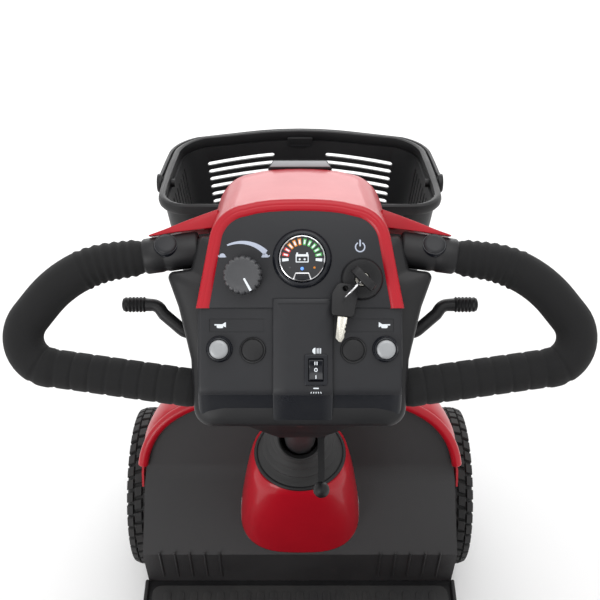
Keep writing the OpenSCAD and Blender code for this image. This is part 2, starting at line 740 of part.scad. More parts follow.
module switch_trim() color(black) in_head() {
    for (x = horn_x) translate([x, horn_u, 0]) difference() {
        union() {
            translate([0, 0, 1.1]) cylinder(r1 = 11.8, r2 = 10.4, h = 7);
            translate([0, 0, -10]) cylinder(r = 9, h = 11.1);
        }
        translate([0, 0, 3]) cylinder(r = 8.9, h = 7);
        translate([0, 0, -12]) cylinder(r = 6.3, h = 20);
    }
    for (x = blank_x) translate([x, blank_u, 0]) {
        translate([0, 0, 1.1]) cylinder(r = 12, h = 2.2);
        translate([0, 0, -8]) cylinder(r = 9, h = 9.1);
    }
    difference() {
        block([rocker_x - 10.5, rocker_u - 14, 5.1], [rocker_x + 10.5, rocker_u + 14, 6.8]);
        block([rocker_x - 7.1, rocker_u - 10.8, 4], [rocker_x + 7.1, rocker_u + 10.8, 8]);
    }
}

module light_rocker() color(black) in_head() translate([rocker_x, rocker_u, 3]) difference() {
    union() {
        block([-6.3, -9.4, 0], [6.3, 9.4, 4.5]);
        x_rod(7, -6.3, 6.3);
    }
    translate([0, 0, 14]) x_rod(11.5, -8, 8);
}

module drive_lever() color(black) in_head() {
    path = rounded_path([[0, lever_u], [122, lever_u], [147, -4], [172, -4]], [0, 12, 12, 0], 4);
    difference() {
        union() {
            both_sides() loft(tube_rings(path, 6.5, 12, lever_n));
            y_rod(10, lever_u - 8, lever_u + 8, 0, lever_n);
        }
        y_rod(4, lever_u - 9, lever_u + 9, 0, lever_n);
    }
    both_sides() translate([172, -4, lever_n]) sphere(r = 8);
}

// ---- Basket ----

// Plan of the basket, starting at the right of the near edge
basket_outline = concat(
    arc_points([128, 34], 32, -90, 0, 5), arc_points([100, 142], 56, 0, 62, 6),
    [[64, 208], [0, 217], [-64, 208]],
    [for (p = arc_points([100, 142], 56, 62, 0, 6)) [-p[0], p[1]]],
    [for (p = arc_points([128, 34], 32, 0, -90, 5)) [-p[0], p[1]]]
);
basket_centre = [0, 100];
// A point of the plan moved away from a centre
function moved_out(p, by, centre = basket_centre) = p + (p - centre) / norm(p - centre) * by;
function basket_ring(z, draft, t) = [for (p = basket_outline) let (q = moved_out(p, -draft - t)) [q[0], q[1], z]];

module basket_slots() {
    for (i = [0:5]) let (z = -30 - 14 * i) {
        both_sides() block([30, 120, z - 3.5], [128 - i * 3, 240, z + 3.5]);
        both_sides() block([100, 52, z - 3.5], [180, 132, z + 3.5]);
        both_sides() block([30, -20, z - 3.5], [118 - i * 3, 40, z + 3.5]);
    }
}

module basket() color(black) in_basket() {
    difference() {
        union() {
            sheet(
                [for (v = [[0, 0], [-4, -1.5], [-9, 0], [-basket_h, 24]]) basket_ring(v[0], v[1], 0)],
                [for (v = [[0, 0], [-4, -1.5], [-9, 0], [-basket_h, 24]]) basket_ring(v[0], v[1], 4)], true
            );
            difference() {
                translate([0, 0, -basket_h]) linear_extrude(3.5) polygon([for (p = basket_ring(0, 25, 0)) [p[0], p[1]]]);
                for (x = [-4:4], y = [0:3]) block([x * 24 - 8, 42 + y * 34, -160], [x * 24 + 8, 64 + y * 34, -140]);
            }
        }
        basket_slots();
    }
    both_sides() block([60, -8, -70], [80, 6, -58]);
    both_sides() x_rod(5, 154, 168, 78, -10);
}

module basket_handle() color(black) in_basket() {
    pivot_y = 78;
    far = [for (p = basket_outline) if (p[1] > 70) p];
    inside = concat([[165, 72]], [for (p = far) moved_out(p, 5, [0, 90])], [[-165, 72]]);
    outside = concat([[171, 72]], [for (p = far) moved_out(p, 11, [0, 90])], [[-171, 72]]);
    difference() {
        union() {
            sheet(
                [for (z = [-2, -20]) [for (p = outside) [p[0], p[1], z]]],
                [for (z = [-2, -20]) [for (p = inside) [p[0], p[1], z]]]
            );
            both_sides() x_rod(11, 165, 171, pivot_y, -10);
        }
        x_rod(5.06, -180, 180, pivot_y, -10);
    }
}

module basket_bracket() color(grey) {
    in_basket() {
        both_sides() difference() {
            block([56, -22, -90], [84, -9, -50]);
            block([59.5, -10.5, -100], [80.5, -8, -56]);
            block([59.5, -9, -72], [80.5, 0, -56]);
        }
        block([-84, -30, -84], [84, -22, -62]);
    }
    in_head() both_sides() {
        block([18, 34, -110], [28, 62, head_top_n - 6]);
        block([18, 34, -172], [28, 90, -108]);
    }
}

// ---- Seat ----

post_top = seat_z;

module seat_post() color(steel) {
    difference() {
        z_rod(22, 180, post_top, 0, post_y);
        z_rod(14.1, 300, post_top + 1, 0, post_y);
    }
    difference() {
        z_rod(40, post_top - 8, post_top, 0, post_y);
        z_rod(21, post_top - 12, post_top + 2, 0, post_y);
    }
}

module seat_swivel() color(grey) {
    z_rod(14, 302, post_top + 1, 0, post_y);
    block([-97, post_y - 110, post_top + 0.5], [97, post_y + 110, post_top + 6]);
    both_sides() difference() {
        block([96, post_y - 120, post_top + 0.5], [124, post_y + 120, post_top + 18]);
        block([100.7, post_y - 130, post_top + 9.5], [119.3, post_y + 130, post_top + 20]);
    }
    difference() {
        block([84, post_y + 60, post_top - 14], [96, post_y + 76, post_top + 1]);
        translate([90, post_y + 68, 0]) z_rod(4, post_top - 20, post_top + 10);
    }
}

frame_z = post_top + 22;
pan_t = 8;
hinge_y = post_y - 216;
hinge_z = frame_z + 172;
back_tilt = 8;
arm_y = post_y - 110;
arm_z = frame_z + 248;

module seat_frame() color(grey) {
    both_sides() {
        block([101, post_y - 110, post_top + 10], [119, post_y + 110, frame_z + 1]);
        block([180, post_y - 210, frame_z], [206, post_y + 185, frame_z + pan_t]);
        block([206, post_y - 228, frame_z], [212, post_y - 188, hinge_z - 14]);
        difference() {
            hull() {
                block([206, post_y - 228, hinge_z - 20], [212, post_y - 198, hinge_z - 14]);
                x_rod(15, 206, 212, hinge_y, hinge_z);
            }
            x_rod(6.05, 200, 220, hinge_y, hinge_z);
        }
        block([206, arm_y - 15, frame_z], [250, arm_y + 15, frame_z + pan_t]);
        block([240, arm_y - 10, frame_z], [250, arm_y + 10, arm_z]);
        x_rod(10, 240, 250, arm_y, arm_z);
        x_rod(5, 250, 264, arm_y, arm_z);
        x_rod(9, 262.3, 265, arm_y, arm_z);
        block([240, arm_y + 9, arm_z - 22], [250, arm_y + 30, arm_z - 12.3]);
        block([240, arm_y + 18, arm_z - 22], [262, arm_y + 30, arm_z - 12.3]);
    }
    block([-200, post_y - 200, frame_z], [200, post_y + 180, frame_z + pan_t]);
}

function pad_ring(a, b, z, e = 0.35, n = 36) = [for (p = soft_ring(a, b, e, n)) [p[0], p[1], z]];

module seat_cushion() color(black) translate([0, post_y - 4, frame_z + pan_t + 0.2]) {
    w = seat_w / 2;
    loft([
        pad_ring(w - 16, 186, 0), pad_ring(w - 4, 198, 14), pad_ring(w - 2, 200, 44),
        pad_ring(w - 6, 196, 70), pad_ring(w - 26, 176, 87), pad_ring(w - 80, 120, 92), pad_ring(30, 20, 93)
    ]);
}

module in_back() translate([0, hinge_y, hinge_z]) rotate([back_tilt, 0, 0]) children();

module back_frame() color(grey) in_back() {
    both_sides() difference() {
        union() {
            block([213, -12, -10], [219, 10, 300]);
            x_rod(15, 213, 219);
        }
        x_rod(6.05, 200, 230);
    }
    both_sides() x_rod(5.95, 203, 222);
    both_sides() x_rod(10, 219.2, 222);
    both_sides() block([190, -10, 60], [214, -3.5, 290]);
    block([-200, -10, 30], [200, -3.5, 300]);
}

back_low = -58;
back_high = 330;

module back_cushion() color(black) in_back() translate([0, -3, (back_low + back_high) / 2]) rotate([-90, 0, 0]) {
    w = seat_w / 2 - 15;
    h = (back_high - back_low) / 2;
    loft([
        pad_ring(w - 26, h - 22, 0), pad_ring(w - 6, h - 5, 9), pad_ring(w, h, 28), pad_ring(w - 8, h - 8, 48),
        pad_ring(w - 40, h - 40, 62), pad_ring(60, 60, 66)
    ]);
}

module armrest(side) on_side(side) {
    color(grey) difference() {
        union() {
            block([251, arm_y - 12, arm_z - 12], [262, arm_y + 225, arm_z + 12]);
            x_rod(12, 251, 262, arm_y, arm_z);
        }
        x_rod(5.06, 240, 270, arm_y, arm_z);
    }
    color(black) translate([256, arm_y + 112, arm_z + 12.2]) loft([
        pad_ring(19, 134, 0, 0.45, 28), pad_ring(26, 141, 7, 0.45, 28), pad_ring(27, 142, 15, 0.45, 28),
        pad_ring(21, 136, 25, 0.45, 28), pad_ring(7, 110, 28, 0.45, 28)
    ]);
}

module seat_lever() color(black) translate([90, post_y + 68, post_top - 20]) {
    cylinder(r = 9, h = 5.5);
    cylinder(r = 3.94, h = 20);
    block([-3, -5, 0], [66, 5, 5]);
    translate([70, 0, 2.5]) sphere(r = 9);
}

// ---- Nodes ----

main_frame();
floor_pan();
floor_mat();
front_shroud();
footwell_panel();
bumpers();
headlight();
rear_shroud();
tail_lights();
battery_packs();
controller();
drive_motor();
transaxle();
anti_tip_bar();
anti_tip_wheels();
freewheel_lever();
steering_stem();
stem_bushes();
tie_rod(-1, rod_z_left);  // tie_rod_left
tie_rod(1, rod_z_right);  // tie_rod_right
knuckle(-1, rod_z_left);  // knuckle_left
knuckle(1, rod_z_right);  // knuckle_right
tyre(-1, front_y);  // front_tyre_left
tyre(1, front_y);  // front_tyre_right
front_rim(-1);  // front_rim_left
front_rim(1);  // front_rim_right
tyre(-1, rear_y);  // rear_tyre_left
tyre(1, rear_y);  // rear_tyre_right
rear_rim(-1);  // rear_rim_left
rear_rim(1);  // rear_rim_right
tiller_column();
tiller_gaiter();
tilt_lever();
head_housing();
head_hood();
control_panel();
handlebar();
grips();
arm_sleeves();
battery_gauge();
speed_dial();
key_switch();
key_set();
horn_button(0);  // horn_button_left
horn_button(1);  // horn_button_right
switch_trim();
light_rocker();
drive_lever();
basket_bracket();
basket();
basket_handle();
seat_post();
seat_swivel();
seat_frame();
seat_cushion();
back_frame();
back_cushion();
armrest(-1);  // armrest_left
armrest(1);  // armrest_right
seat_lever();
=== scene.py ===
import math

import bmesh
import bpy
from mathutils import Matrix, Vector
from mathutils.bvhtree import BVHTree


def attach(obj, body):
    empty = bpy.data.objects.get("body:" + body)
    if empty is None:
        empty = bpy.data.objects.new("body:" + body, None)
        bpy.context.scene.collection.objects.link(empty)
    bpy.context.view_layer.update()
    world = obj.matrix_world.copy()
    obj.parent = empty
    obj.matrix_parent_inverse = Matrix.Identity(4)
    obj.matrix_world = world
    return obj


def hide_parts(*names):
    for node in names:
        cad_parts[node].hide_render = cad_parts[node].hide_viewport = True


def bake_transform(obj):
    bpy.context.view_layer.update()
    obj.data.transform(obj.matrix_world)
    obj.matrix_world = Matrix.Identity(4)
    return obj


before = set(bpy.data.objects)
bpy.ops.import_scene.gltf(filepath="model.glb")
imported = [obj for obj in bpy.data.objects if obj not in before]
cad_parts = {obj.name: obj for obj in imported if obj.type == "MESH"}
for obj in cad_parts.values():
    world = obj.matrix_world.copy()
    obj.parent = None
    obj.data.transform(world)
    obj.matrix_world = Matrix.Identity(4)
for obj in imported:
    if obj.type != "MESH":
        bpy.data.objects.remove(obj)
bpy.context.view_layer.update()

# ---- Places: every shape is drawn in millimetres in one of these frames ----


def place(x, y, z, tilt=0.0, turn=0.0):
    """A frame at a point in millimetres, tilted about X and then turned about its own Z, in degrees."""
    where = Matrix.Translation((x / 1000, y / 1000, z / 1000))
    return where @ Matrix.Rotation(math.radians(tilt), 4, "X") @ Matrix.Rotation(math.radians(turn), 4, "Z")


def quarter(axis, way=1):
    """A quarter turn about an axis."""
    return Matrix.Rotation(math.radians(90 * way), 4, axis)


WORLD = Matrix.Identity(4)
TILLER = place(0, 311, 400, 27)
HEAD = TILLER @ place(0, 71, 470, 17)
BASKET = place(0, 363, 796, -12.8)
BACK = place(0, -516, 624, 8)
SIDES = ((1, "right"), (-1, "left"))

BAR_N = -36.0
BAR_R = 11.0
LEVER_N = -75.0
LEVER_U = -32.0
DIAL = (-53.0, 23.5)
GAUGE = (2.0, 39.0)
KEY = (57.5, 20.0)
HORNS = ((-75.0, -45.0), (79.5, -45.0))
BLANKS = ((-44.0, -46.0), (49.5, -46.0))
ROCKER = (14.7, -64.0)

# ---- Camera ----

camera = bpy.data.objects.new("camera", bpy.data.cameras.new("camera"))
bpy.context.scene.collection.objects.link(camera)
camera.matrix_world = place(0, -436, 1470, 44)
camera.data.lens = 55.4
camera.data.sensor_width = 36
camera.data.clip_end = 60
bpy.context.scene.camera = camera

# ---- Materials ----


def surface(name, colour, rough, metal=0.0, grain=900.0, bump=0.12, spread=0.06, coat=0.0,
            second=None, patch=14.0, sheen=0.0, specular=0.5):
    """Moulded plastic, paint, rubber or metal: fine grain in the bump, larger patches in gloss and colour."""
    material = bpy.data.materials.new(name)
    material.use_nodes = True
    nodes = material.node_tree.nodes
    links = material.node_tree.links
    shader = nodes["Principled BSDF"]
    shader.inputs["Base Color"].default_value = (*colour, 1)
    shader.inputs["Roughness"].default_value = rough
    shader.inputs["Metallic"].default_value = metal
    shader.inputs["Coat Weight"].default_value = coat
    shader.inputs["Coat Roughness"].default_value = 0.06
    shader.inputs["Sheen Weight"].default_value = sheen
    shader.inputs["Specular IOR Level"].default_value = specular
    coords = nodes.new("ShaderNodeTexCoord")
    fine = nodes.new("ShaderNodeTexNoise")
    fine.inputs["Scale"].default_value = grain
    fine.inputs["Detail"].default_value = 3
    links.new(coords.outputs["Object"], fine.inputs["Vector"])
    relief = nodes.new("ShaderNodeBump")
    relief.inputs["Strength"].default_value = bump
    relief.inputs["Distance"].default_value = 0.0006
    links.new(fine.outputs["Fac"], relief.inputs["Height"])
    links.new(relief.outputs["Normal"], shader.inputs["Normal"])
    broad = nodes.new("ShaderNodeTexNoise")
    broad.inputs["Scale"].default_value = patch
    broad.inputs["Detail"].default_value = 6
    broad.inputs["Roughness"].default_value = 0.65
    links.new(coords.outputs["Object"], broad.inputs["Vector"])
    gloss = nodes.new("ShaderNodeMapRange")
    gloss.inputs["From Min"].default_value = 0.3
    gloss.inputs["From Max"].default_value = 0.7
    gloss.inputs["To Min"].default_value = max(rough - spread, 0.02)
    gloss.inputs["To Max"].default_value = min(rough + spread, 1.0)
    links.new(broad.outputs["Fac"], gloss.inputs["Value"])
    links.new(gloss.outputs["Result"], shader.inputs["Roughness"])
    if second:
        tint = nodes.new("ShaderNodeValToRGB")
        tint.color_ramp.elements[0].position = 0.38
        tint.color_ramp.elements[0].color = (*colour, 1)
        tint.color_ramp.elements[1].position = 0.72
        tint.color_ramp.elements[1].color = (*second, 1)
        links.new(broad.outputs["Fac"], tint.inputs["Fac"])
        links.new(tint.outputs["Color"], shader.inputs["Base Color"])
    return material


def glow(name, colour, strength):
    """A lamp that shines weakly in its own colour."""
    material = surface(name, colour, 0.3)
    shader = material.node_tree.nodes["Principled BSDF"]
    shader.inputs["Emission Color"].default_value = (*colour, 1)
    shader.inputs["Emission Strength"].default_value = strength
    return material


SURFACES = {
    "red_paint": dict(colour=(0.42, 0.004, 0.014), rough=0.34, grain=300, bump=0.015, spread=0.05, coat=0.2,
                      second=(0.36, 0.003, 0.012), patch=6, specular=0.3),
    "black_plastic": dict(colour=(0.009, 0.009, 0.01), rough=0.46, grain=1500, bump=0.2,
                          second=(0.013, 0.013, 0.014), specular=0.35),
    "gloss_black": dict(colour=(0.005, 0.006, 0.009), rough=0.24, grain=900, bump=0.03,
                        second=(0.007, 0.008, 0.012), specular=0.4),
    "fascia": dict(colour=(0.013, 0.0135, 0.016), rough=0.44, grain=1700, bump=0.16, spread=0.05,
                   second=(0.017, 0.0175, 0.02), specular=0.35),
    "grey_plastic": dict(colour=(0.018, 0.018, 0.019), rough=0.62, grain=1100, bump=0.45,
                         second=(0.025, 0.025, 0.026)),
    "mat_rubber": dict(colour=(0.02, 0.02, 0.021), rough=0.8, grain=700, bump=0.4,
                       second=(0.034, 0.033, 0.032)),
    "tyre_rubber": dict(colour=(0.013, 0.013, 0.014), rough=0.78, grain=800, bump=0.35,
                        second=(0.026, 0.025, 0.024), patch=30),
    "foam_grip": dict(colour=(0.007, 0.007, 0.0075), rough=0.88, grain=1800, bump=0.7,
                      second=(0.011, 0.011, 0.0115), sheen=0.05, specular=0.3),
    "bellows_rubber": dict(colour=(0.012, 0.012, 0.013), rough=0.6, grain=700, bump=0.25,
                           second=(0.02, 0.02, 0.02)),
    "frame_paint": dict(colour=(0.02, 0.02, 0.022), rough=0.38, grain=500, bump=0.12, coat=0.3,
                        second=(0.028, 0.028, 0.03)),
    "battery_case": dict(colour=(0.022, 0.022, 0.026), rough=0.5, grain=900, bump=0.2,
                         second=(0.03, 0.03, 0.03)),
    "cast_aluminium": dict(colour=(0.42, 0.43, 0.44), rough=0.42, metal=1.0, grain=600, bump=0.35,
                           second=(0.33, 0.34, 0.35)),
    "motor_paint": dict(colour=(0.016, 0.016, 0.018), rough=0.35, grain=500, bump=0.1, coat=0.4,
                        second=(0.022, 0.022, 0.024)),
    "zinc_steel": dict(colour=(0.5, 0.5, 0.49), rough=0.32, metal=1.0, grain=450, bump=0.06,
                       second=(0.42, 0.42, 0.42)),
    "bush_bronze": dict(colour=(0.5, 0.33, 0.14), rough=0.36, metal=1.0, grain=600, bump=0.1,
                        second=(0.42, 0.27, 0.11)),
    "wheel_silver": dict(colour=(0.56, 0.57, 0.58), rough=0.34, metal=0.85, grain=900, bump=0.08, coat=0.4,
                         second=(0.49, 0.5, 0.51)),
    "lamp_clear": dict(colour=(0.75, 0.78, 0.8), rough=0.08, grain=260, bump=0.3,
                       second=(0.66, 0.69, 0.72)),
    "lamp_red": dict(colour=(0.4, 0.006, 0.01), rough=0.12, grain=260, bump=0.3, coat=0.8,
                     second=(0.32, 0.004, 0.008)),
    "dial_grey": dict(colour=(0.045, 0.046, 0.05), rough=0.36, grain=1500, bump=0.12,
                      second=(0.056, 0.057, 0.061)),
    "chrome_trim": dict(colour=(0.8, 0.8, 0.81), rough=0.1, metal=1.0, grain=600, bump=0.02, spread=0.04,
                        second=(0.74, 0.74, 0.75)),
    "key_steel": dict(colour=(0.62, 0.6, 0.54), rough=0.28, metal=1.0, grain=1400, bump=0.1,
                      second=(0.54, 0.52, 0.46)),
    "button_silver": dict(colour=(0.3, 0.31, 0.32), rough=0.4, metal=0.3, grain=1500, bump=0.1,
                          second=(0.36, 0.37, 0.38)),
    "amber_plastic": dict(colour=(0.6, 0.2, 0.01), rough=0.38, grain=900, bump=0.1,
                          second=(0.5, 0.16, 0.01)),
    "seat_vinyl": dict(colour=(0.016, 0.016, 0.018), rough=0.5, grain=420, bump=0.55, spread=0.1,
                       second=(0.022, 0.022, 0.024), patch=20),
    "pad_rubber": dict(colour=(0.014, 0.014, 0.015), rough=0.62, grain=900, bump=0.35,
                       second=(0.02, 0.02, 0.021)),
    "print_white": dict(colour=(0.72, 0.76, 0.8), rough=0.5, grain=1500, bump=0.05),
    "print_pale": dict(colour=(0.42, 0.46, 0.56), rough=0.5, grain=1500, bump=0.05),
    "print_red": dict(colour=(0.7, 0.03, 0.02), rough=0.5, grain=1500, bump=0.05),
    "print_amber": dict(colour=(0.8, 0.28, 0.02), rough=0.5, grain=1500, bump=0.05),
    "print_green": dict(colour=(0.08, 0.45, 0.1), rough=0.5, grain=1500, bump=0.05),
    "dial_face": dict(colour=(0.018, 0.019, 0.022), rough=0.3, grain=1500, bump=0.04),
    "stitch": dict(colour=(0.05, 0.05, 0.052), rough=0.75, grain=1500, bump=0.6),
}

LOOKS = {name: surface(name, **values) for name, values in SURFACES.items()}
LOOKS["lamp_blue"] = glow("lamp_blue", (0.12, 0.3, 0.9), 0.6)

# ---- Mesh tools ----


def finish_mesh(obj, angle=38):
    """Smooth shading, with edges sharper than the angle kept crisp."""
    obj.data.shade_smooth()
    obj.data.set_sharp_from_angle(angle=math.radians(angle))
    return obj


def new_object(name, points, faces, where, look, merge=False):
    """A mesh object from points in millimetres in the frame `where`, its faces turned outward."""
    mesh = bpy.data.meshes.new(name)
    mesh.from_pydata([where @ (Vector(p) / 1000) for p in points], [], faces)
    box = bmesh.new()
    box.from_mesh(mesh)
    if merge:
        bmesh.ops.remove_doubles(box, verts=box.verts, dist=2e-6)
    bmesh.ops.recalc_face_normals(box, faces=box.faces)
    box.to_mesh(mesh)
    box.free()
    mesh.materials.append(LOOKS[look])
    obj = bpy.data.objects.new(name, mesh)
    bpy.context.scene.collection.objects.link(obj)
    return finish_mesh(obj)


def bake(obj):
    """Applies the object's modifiers to its mesh."""
    graph = bpy.context.evaluated_depsgraph_get()
    mesh = bpy.data.meshes.new_from_object(obj.evaluated_get(graph))
    obj.modifiers.clear()
    obj.data = mesh
    return finish_mesh(obj)


def bevel(obj, width, segments=3, angle=34):
    """Rounds the sharp edges by width millimetres."""
    step = obj.modifiers.new("bevel", "BEVEL")
    step.width = width / 1000
    step.segments = segments
    step.limit_method = "ANGLE"
    step.angle_limit = math.radians(angle)
    return bake(obj)


def subdivide(obj, levels=1):
    """Splits each face into smaller, smoother ones."""
    step = obj.modifiers.new("subdivision", "SUBSURF")
    step.levels = levels
    return bake(obj)


def cut(obj, *cutters):
    """Takes the cutters out of obj and removes them."""
    for cutter in cutters:
        step = obj.modifiers.new("cut", "BOOLEAN")
        step.operation = "DIFFERENCE"
        step.solver = "EXACT"
        step.use_self = False
        step.object = cutter
        bake(obj)
        bpy.data.objects.remove(cutter)
    return obj


def join(name, objects):
    """One object from several, keeping each one's material."""
    box = bmesh.new()
    materials = []
    for obj in objects:
        offset = len(materials)
        materials.extend(obj.data.materials)
        before = len(box.faces)
        box.from_mesh(obj.data)
        box.faces.ensure_lookup_table()
        for face in box.faces[before:]:
            face.material_index += offset
    mesh = bpy.data.meshes.new(name)
    box.to_mesh(mesh)
    box.free()
    seen = []
    for material in materials:
        if material not in seen:
            seen.append(material)
    for material in seen:
        mesh.materials.append(material)
    for face in mesh.polygons:
        face.material_index = seen.index(materials[face.material_index])
    for obj in objects:
        bpy.data.objects.remove(obj)
    whole = bpy.data.objects.new(name, mesh)
    bpy.context.scene.collection.objects.link(whole)
    return finish_mesh(whole)


def grid_faces(rows, cols, wrap_cols=False, wrap_rows=False):
    """Faces between neighbours in a grid of points, joined round on itself where asked."""
    faces = []
    for r in range(rows if wrap_rows else rows - 1):
        for c in range(cols if wrap_cols else cols - 1):
            d = (c + 1) % cols
            q = (r + 1) % rows
            faces.append((r * cols + c, r * cols + d, q * cols + d, q * cols + c))
    return faces


def lofted(name, rings, where, look, caps=True):
    """A solid through closed rings with the same number of points."""
    count = len(rings[0])
    faces = grid_faces(len(rings), count, wrap_cols=True)
    if caps:
        faces.append(tuple(range(count)))
        faces.append(tuple(range((len(rings) - 1) * count, len(rings) * count)))
    return new_object(name, [p for ring in rings for p in ring], faces, where, look, merge=True)


def shell(name, outer, inner, where, look, wrap=False):
    """A thin solid between two grids of points."""
    rows = list(outer) + list(reversed(inner))
    count = len(outer[0])
    faces = grid_faces(len(rows), count, wrap_cols=wrap, wrap_rows=True)
    if not wrap:
        last = len(rows) - 1
        for r in range(len(outer) - 1):
            for c in (0, count - 1):
                faces.append(tuple(row * count + c for row in (r, r + 1, last - r - 1, last - r)))
    return new_object(name, [p for row in rows for p in row], faces, where, look)


def lathe(name, profile, where, look, segments=64, centre=(0, 0)):
    """Turns (radius, height) points about the frame's Z axis."""
    rings = []
    for radius, height in profile:
        rings.append([(centre[0] + radius * math.cos(2 * math.pi * k / segments),
                       centre[1] + radius * math.sin(2 * math.pi * k / segments), height)
                      for k in range(segments)])
    closed = profile[0] == profile[-1]
    if closed:
        rings = rings[:-1]
        faces = grid_faces(len(rings), segments, wrap_cols=True, wrap_rows=True)
        return new_object(name, [p for ring in rings for p in ring], faces, where, look, merge=True)
    return lofted(name, rings, where, look, caps=False)


def prism(name, outline, ends, axis, where, look):
    """An outline of (a, b) pairs carried along one axis, 0 to 2 for X to Z, between two ends."""
    count = len(outline)
    points = [(*pair[:axis], end, *pair[axis:]) for end in ends for pair in outline]
    faces = [tuple(range(count)), tuple(range(count, 2 * count))]
    faces += [(k, (k + 1) % count, count + (k + 1) % count, count + k) for k in range(count)]
    return new_object(name, points, faces, where, look)


def slab(name, outline, low, high, where, look, edge=0.0, segments=3):
    """An outline raised from one height to another, with rounded edges."""
    obj = prism(name, outline, (low, high), 2, where, look)
    return bevel(obj, edge, segments) if edge else obj


def strip(name, rows, where, look):
    """A solid from open rows of points, closed across its underside and its two ends."""
    count = len(rows[0])
    first = range(0, len(rows) * count, count)
    faces = grid_faces(len(rows), count)
    faces += [tuple(range(count)), tuple(range((len(rows) - 1) * count, len(rows) * count))]
    faces += [tuple(first)[::-1] + tuple(k + count - 1 for k in first)]
    return new_object(name, [p for row in rows for p in row], faces, where, look)


def arc(cx, cy, radius, start, end, steps=8):
    """Points along a circular arc between two angles in degrees."""
    return [(cx + radius * math.cos(math.radians(start + (end - start) * k / steps)),
             cy + radius * math.sin(math.radians(start + (end - start) * k / steps)))
            for k in range(steps + 1)]


def rounded_box(x0, y0, x1, y1, radius, steps=5):
    """Outline of a rectangle with round corners."""
    return (arc(x1 - radius, y1 - radius, radius, 0, 90, steps)
            + arc(x0 + radius, y1 - radius, radius, 90, 180, steps)
            + arc(x0 + radius, y0 + radius, radius, 180, 270, steps)
            + arc(x1 - radius, y0 + radius, radius, 270, 360, steps))


def rounded(points, radii, steps=6):
    """A closed outline with each corner rounded to its own radius."""
    out = []
    count = len(points)
    for i, (here, radius) in enumerate(zip(points, radii)):
        p = Vector(here)
        a = (Vector(points[i - 1]) - p).normalized()
        b = (Vector(points[(i + 1) % count]) - p).normalized()
        half = a.angle(b) / 2
        if radius == 0 or half > math.radians(89):
            out += [tuple(p)] * (steps + 1)
            continue
        centre = p + (a + b).normalized() * radius / math.sin(half)
        start = p + a * radius / math.tan(half) - centre
        sweep = math.pi - 2 * half
        sign = -1 if a.cross(b) > 0 else 1
        for k in range(steps + 1):
            angle = sign * sweep * k / steps
            out.append((centre.x + start.x * math.cos(angle) - start.y * math.sin(angle),
                        centre.y + start.x * math.sin(angle) + start.y * math.cos(angle)))
    return out


def smooth_rows(rows, steps):
    """Rows of numbers with smooth in-between rows."""
    out = []
    for i in range(len(rows) - 1):
        a, b, c, d = rows[max(i - 1, 0)], rows[i], rows[i + 1], rows[min(i + 2, len(rows) - 1)]
        for k in range(steps):
            t = k / steps
            out.append(tuple(0.5 * (2 * q + (r - p) * t + (2 * p - 5 * q + 4 * r - s) * t * t
                                    + (3 * q - p - 3 * r + s) * t ** 3) for p, q, r, s in zip(a, b, c, d)))
    out.append(tuple(rows[-1]))
    return out


def power(value, exponent):
    """A power that keeps the sign of its value."""
    return math.copysign(abs(value) ** exponent, value)


def soft_ring(a, b, e, count, z, x=0.0, y=0.0):
    """A ring with rounded corners: half sizes a and b, roundness e from 0.3 (square) to 1."""
    return [(x + a * power(math.cos(2 * math.pi * k / count), e),
             y + b * power(math.sin(2 * math.pi * k / count), e), z)
            for k in range(count)]


def tube(name, path, radius, where, look, sides=24, closed=False, round_ends=True):
    """A round tube along 3-D points; radius is a number or one number for each point."""
    points = [Vector(p) for p in path]
    radii = list(radius) if isinstance(radius, (list, tuple)) else [radius] * len(points)
    count = len(points)
    tangents = []
    for i in range(count):
        a = points[(i - 1) % count] if closed or i > 0 else points[i]
        b = points[(i + 1) % count] if closed or i < count - 1 else points[i]
        tangents.append((b - a).normalized())
    if round_ends and not closed:
        head, tail, r0, r1 = [], [], radii[0], radii[-1]
        for k in (0, 1, 2, 3):
            angle = math.pi / 2 * k / 4
            head.append((points[0] - tangents[0] * r0 * 0.45 * math.cos(angle),
                         r0 * (0.55 + 0.45 * math.sin(angle))))
            tail.append((points[-1] + tangents[-1] * r1 * 0.45 * math.cos(angle),
                         r1 * (0.55 + 0.45 * math.sin(angle))))
        points = [p for p, _ in head] + points + [p for p, _ in reversed(tail)]
        radii = [r for _, r in head] + radii + [r for _, r in reversed(tail)]
        tangents = [tangents[0]] * 4 + tangents + [tangents[-1]] * 4
    normal = tangents[0].orthogonal().normalized()
    if abs(tangents[0].z) < 0.9:
        normal = tangents[0].cross(Vector((0, 0, 1))).normalized()
    rings = []
    for point, r, tangent in zip(points, radii, tangents):
        normal = (normal - tangent * normal.dot(tangent)).normalized()
        side = tangent.cross(normal)
        rings.append([point + normal * r * math.cos(2 * math.pi * k / sides) + side * r
                      * math.sin(2 * math.pi * k / sides)
                      for k in range(sides)])
    if closed:
        faces = grid_faces(len(rings), sides, wrap_cols=True, wrap_rows=True)
        return new_object(name, [p for ring in rings for p in ring], faces, where, look)
    return lofted(name, rings, where, look)


def piece(obj, body, slot, *nodes):
    """Fixes a finished piece to its body and hides the CAD nodes it stands for."""
    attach(obj, body)
    if nodes:
        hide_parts(*nodes)
    return obj


# ---- Control head ----


def arch(inset, lift=0.0):
    """The hood's outline, drawn in by inset and lifted at the crown."""
    centre = (47.0, 52.0 + lift)
    foot = (97 - inset * 1.08, -7.0 + lift * 0.1)
    side = arc(*centre, 38 - inset, 9, 82, 14)
    up = [tuple(Vector(foot).lerp(Vector(side[0]), t)) for t in (0, 0.2, 0.4, 0.6, 0.8, 0.93)]
    right = up + side + [(40, 92.4 + lift - inset), (28, 94 + lift - inset), (14, 94.8 + lift - inset)]
    return right + [(0, 95 + lift - inset)] + [(-x, y) for x, y in reversed(right)]


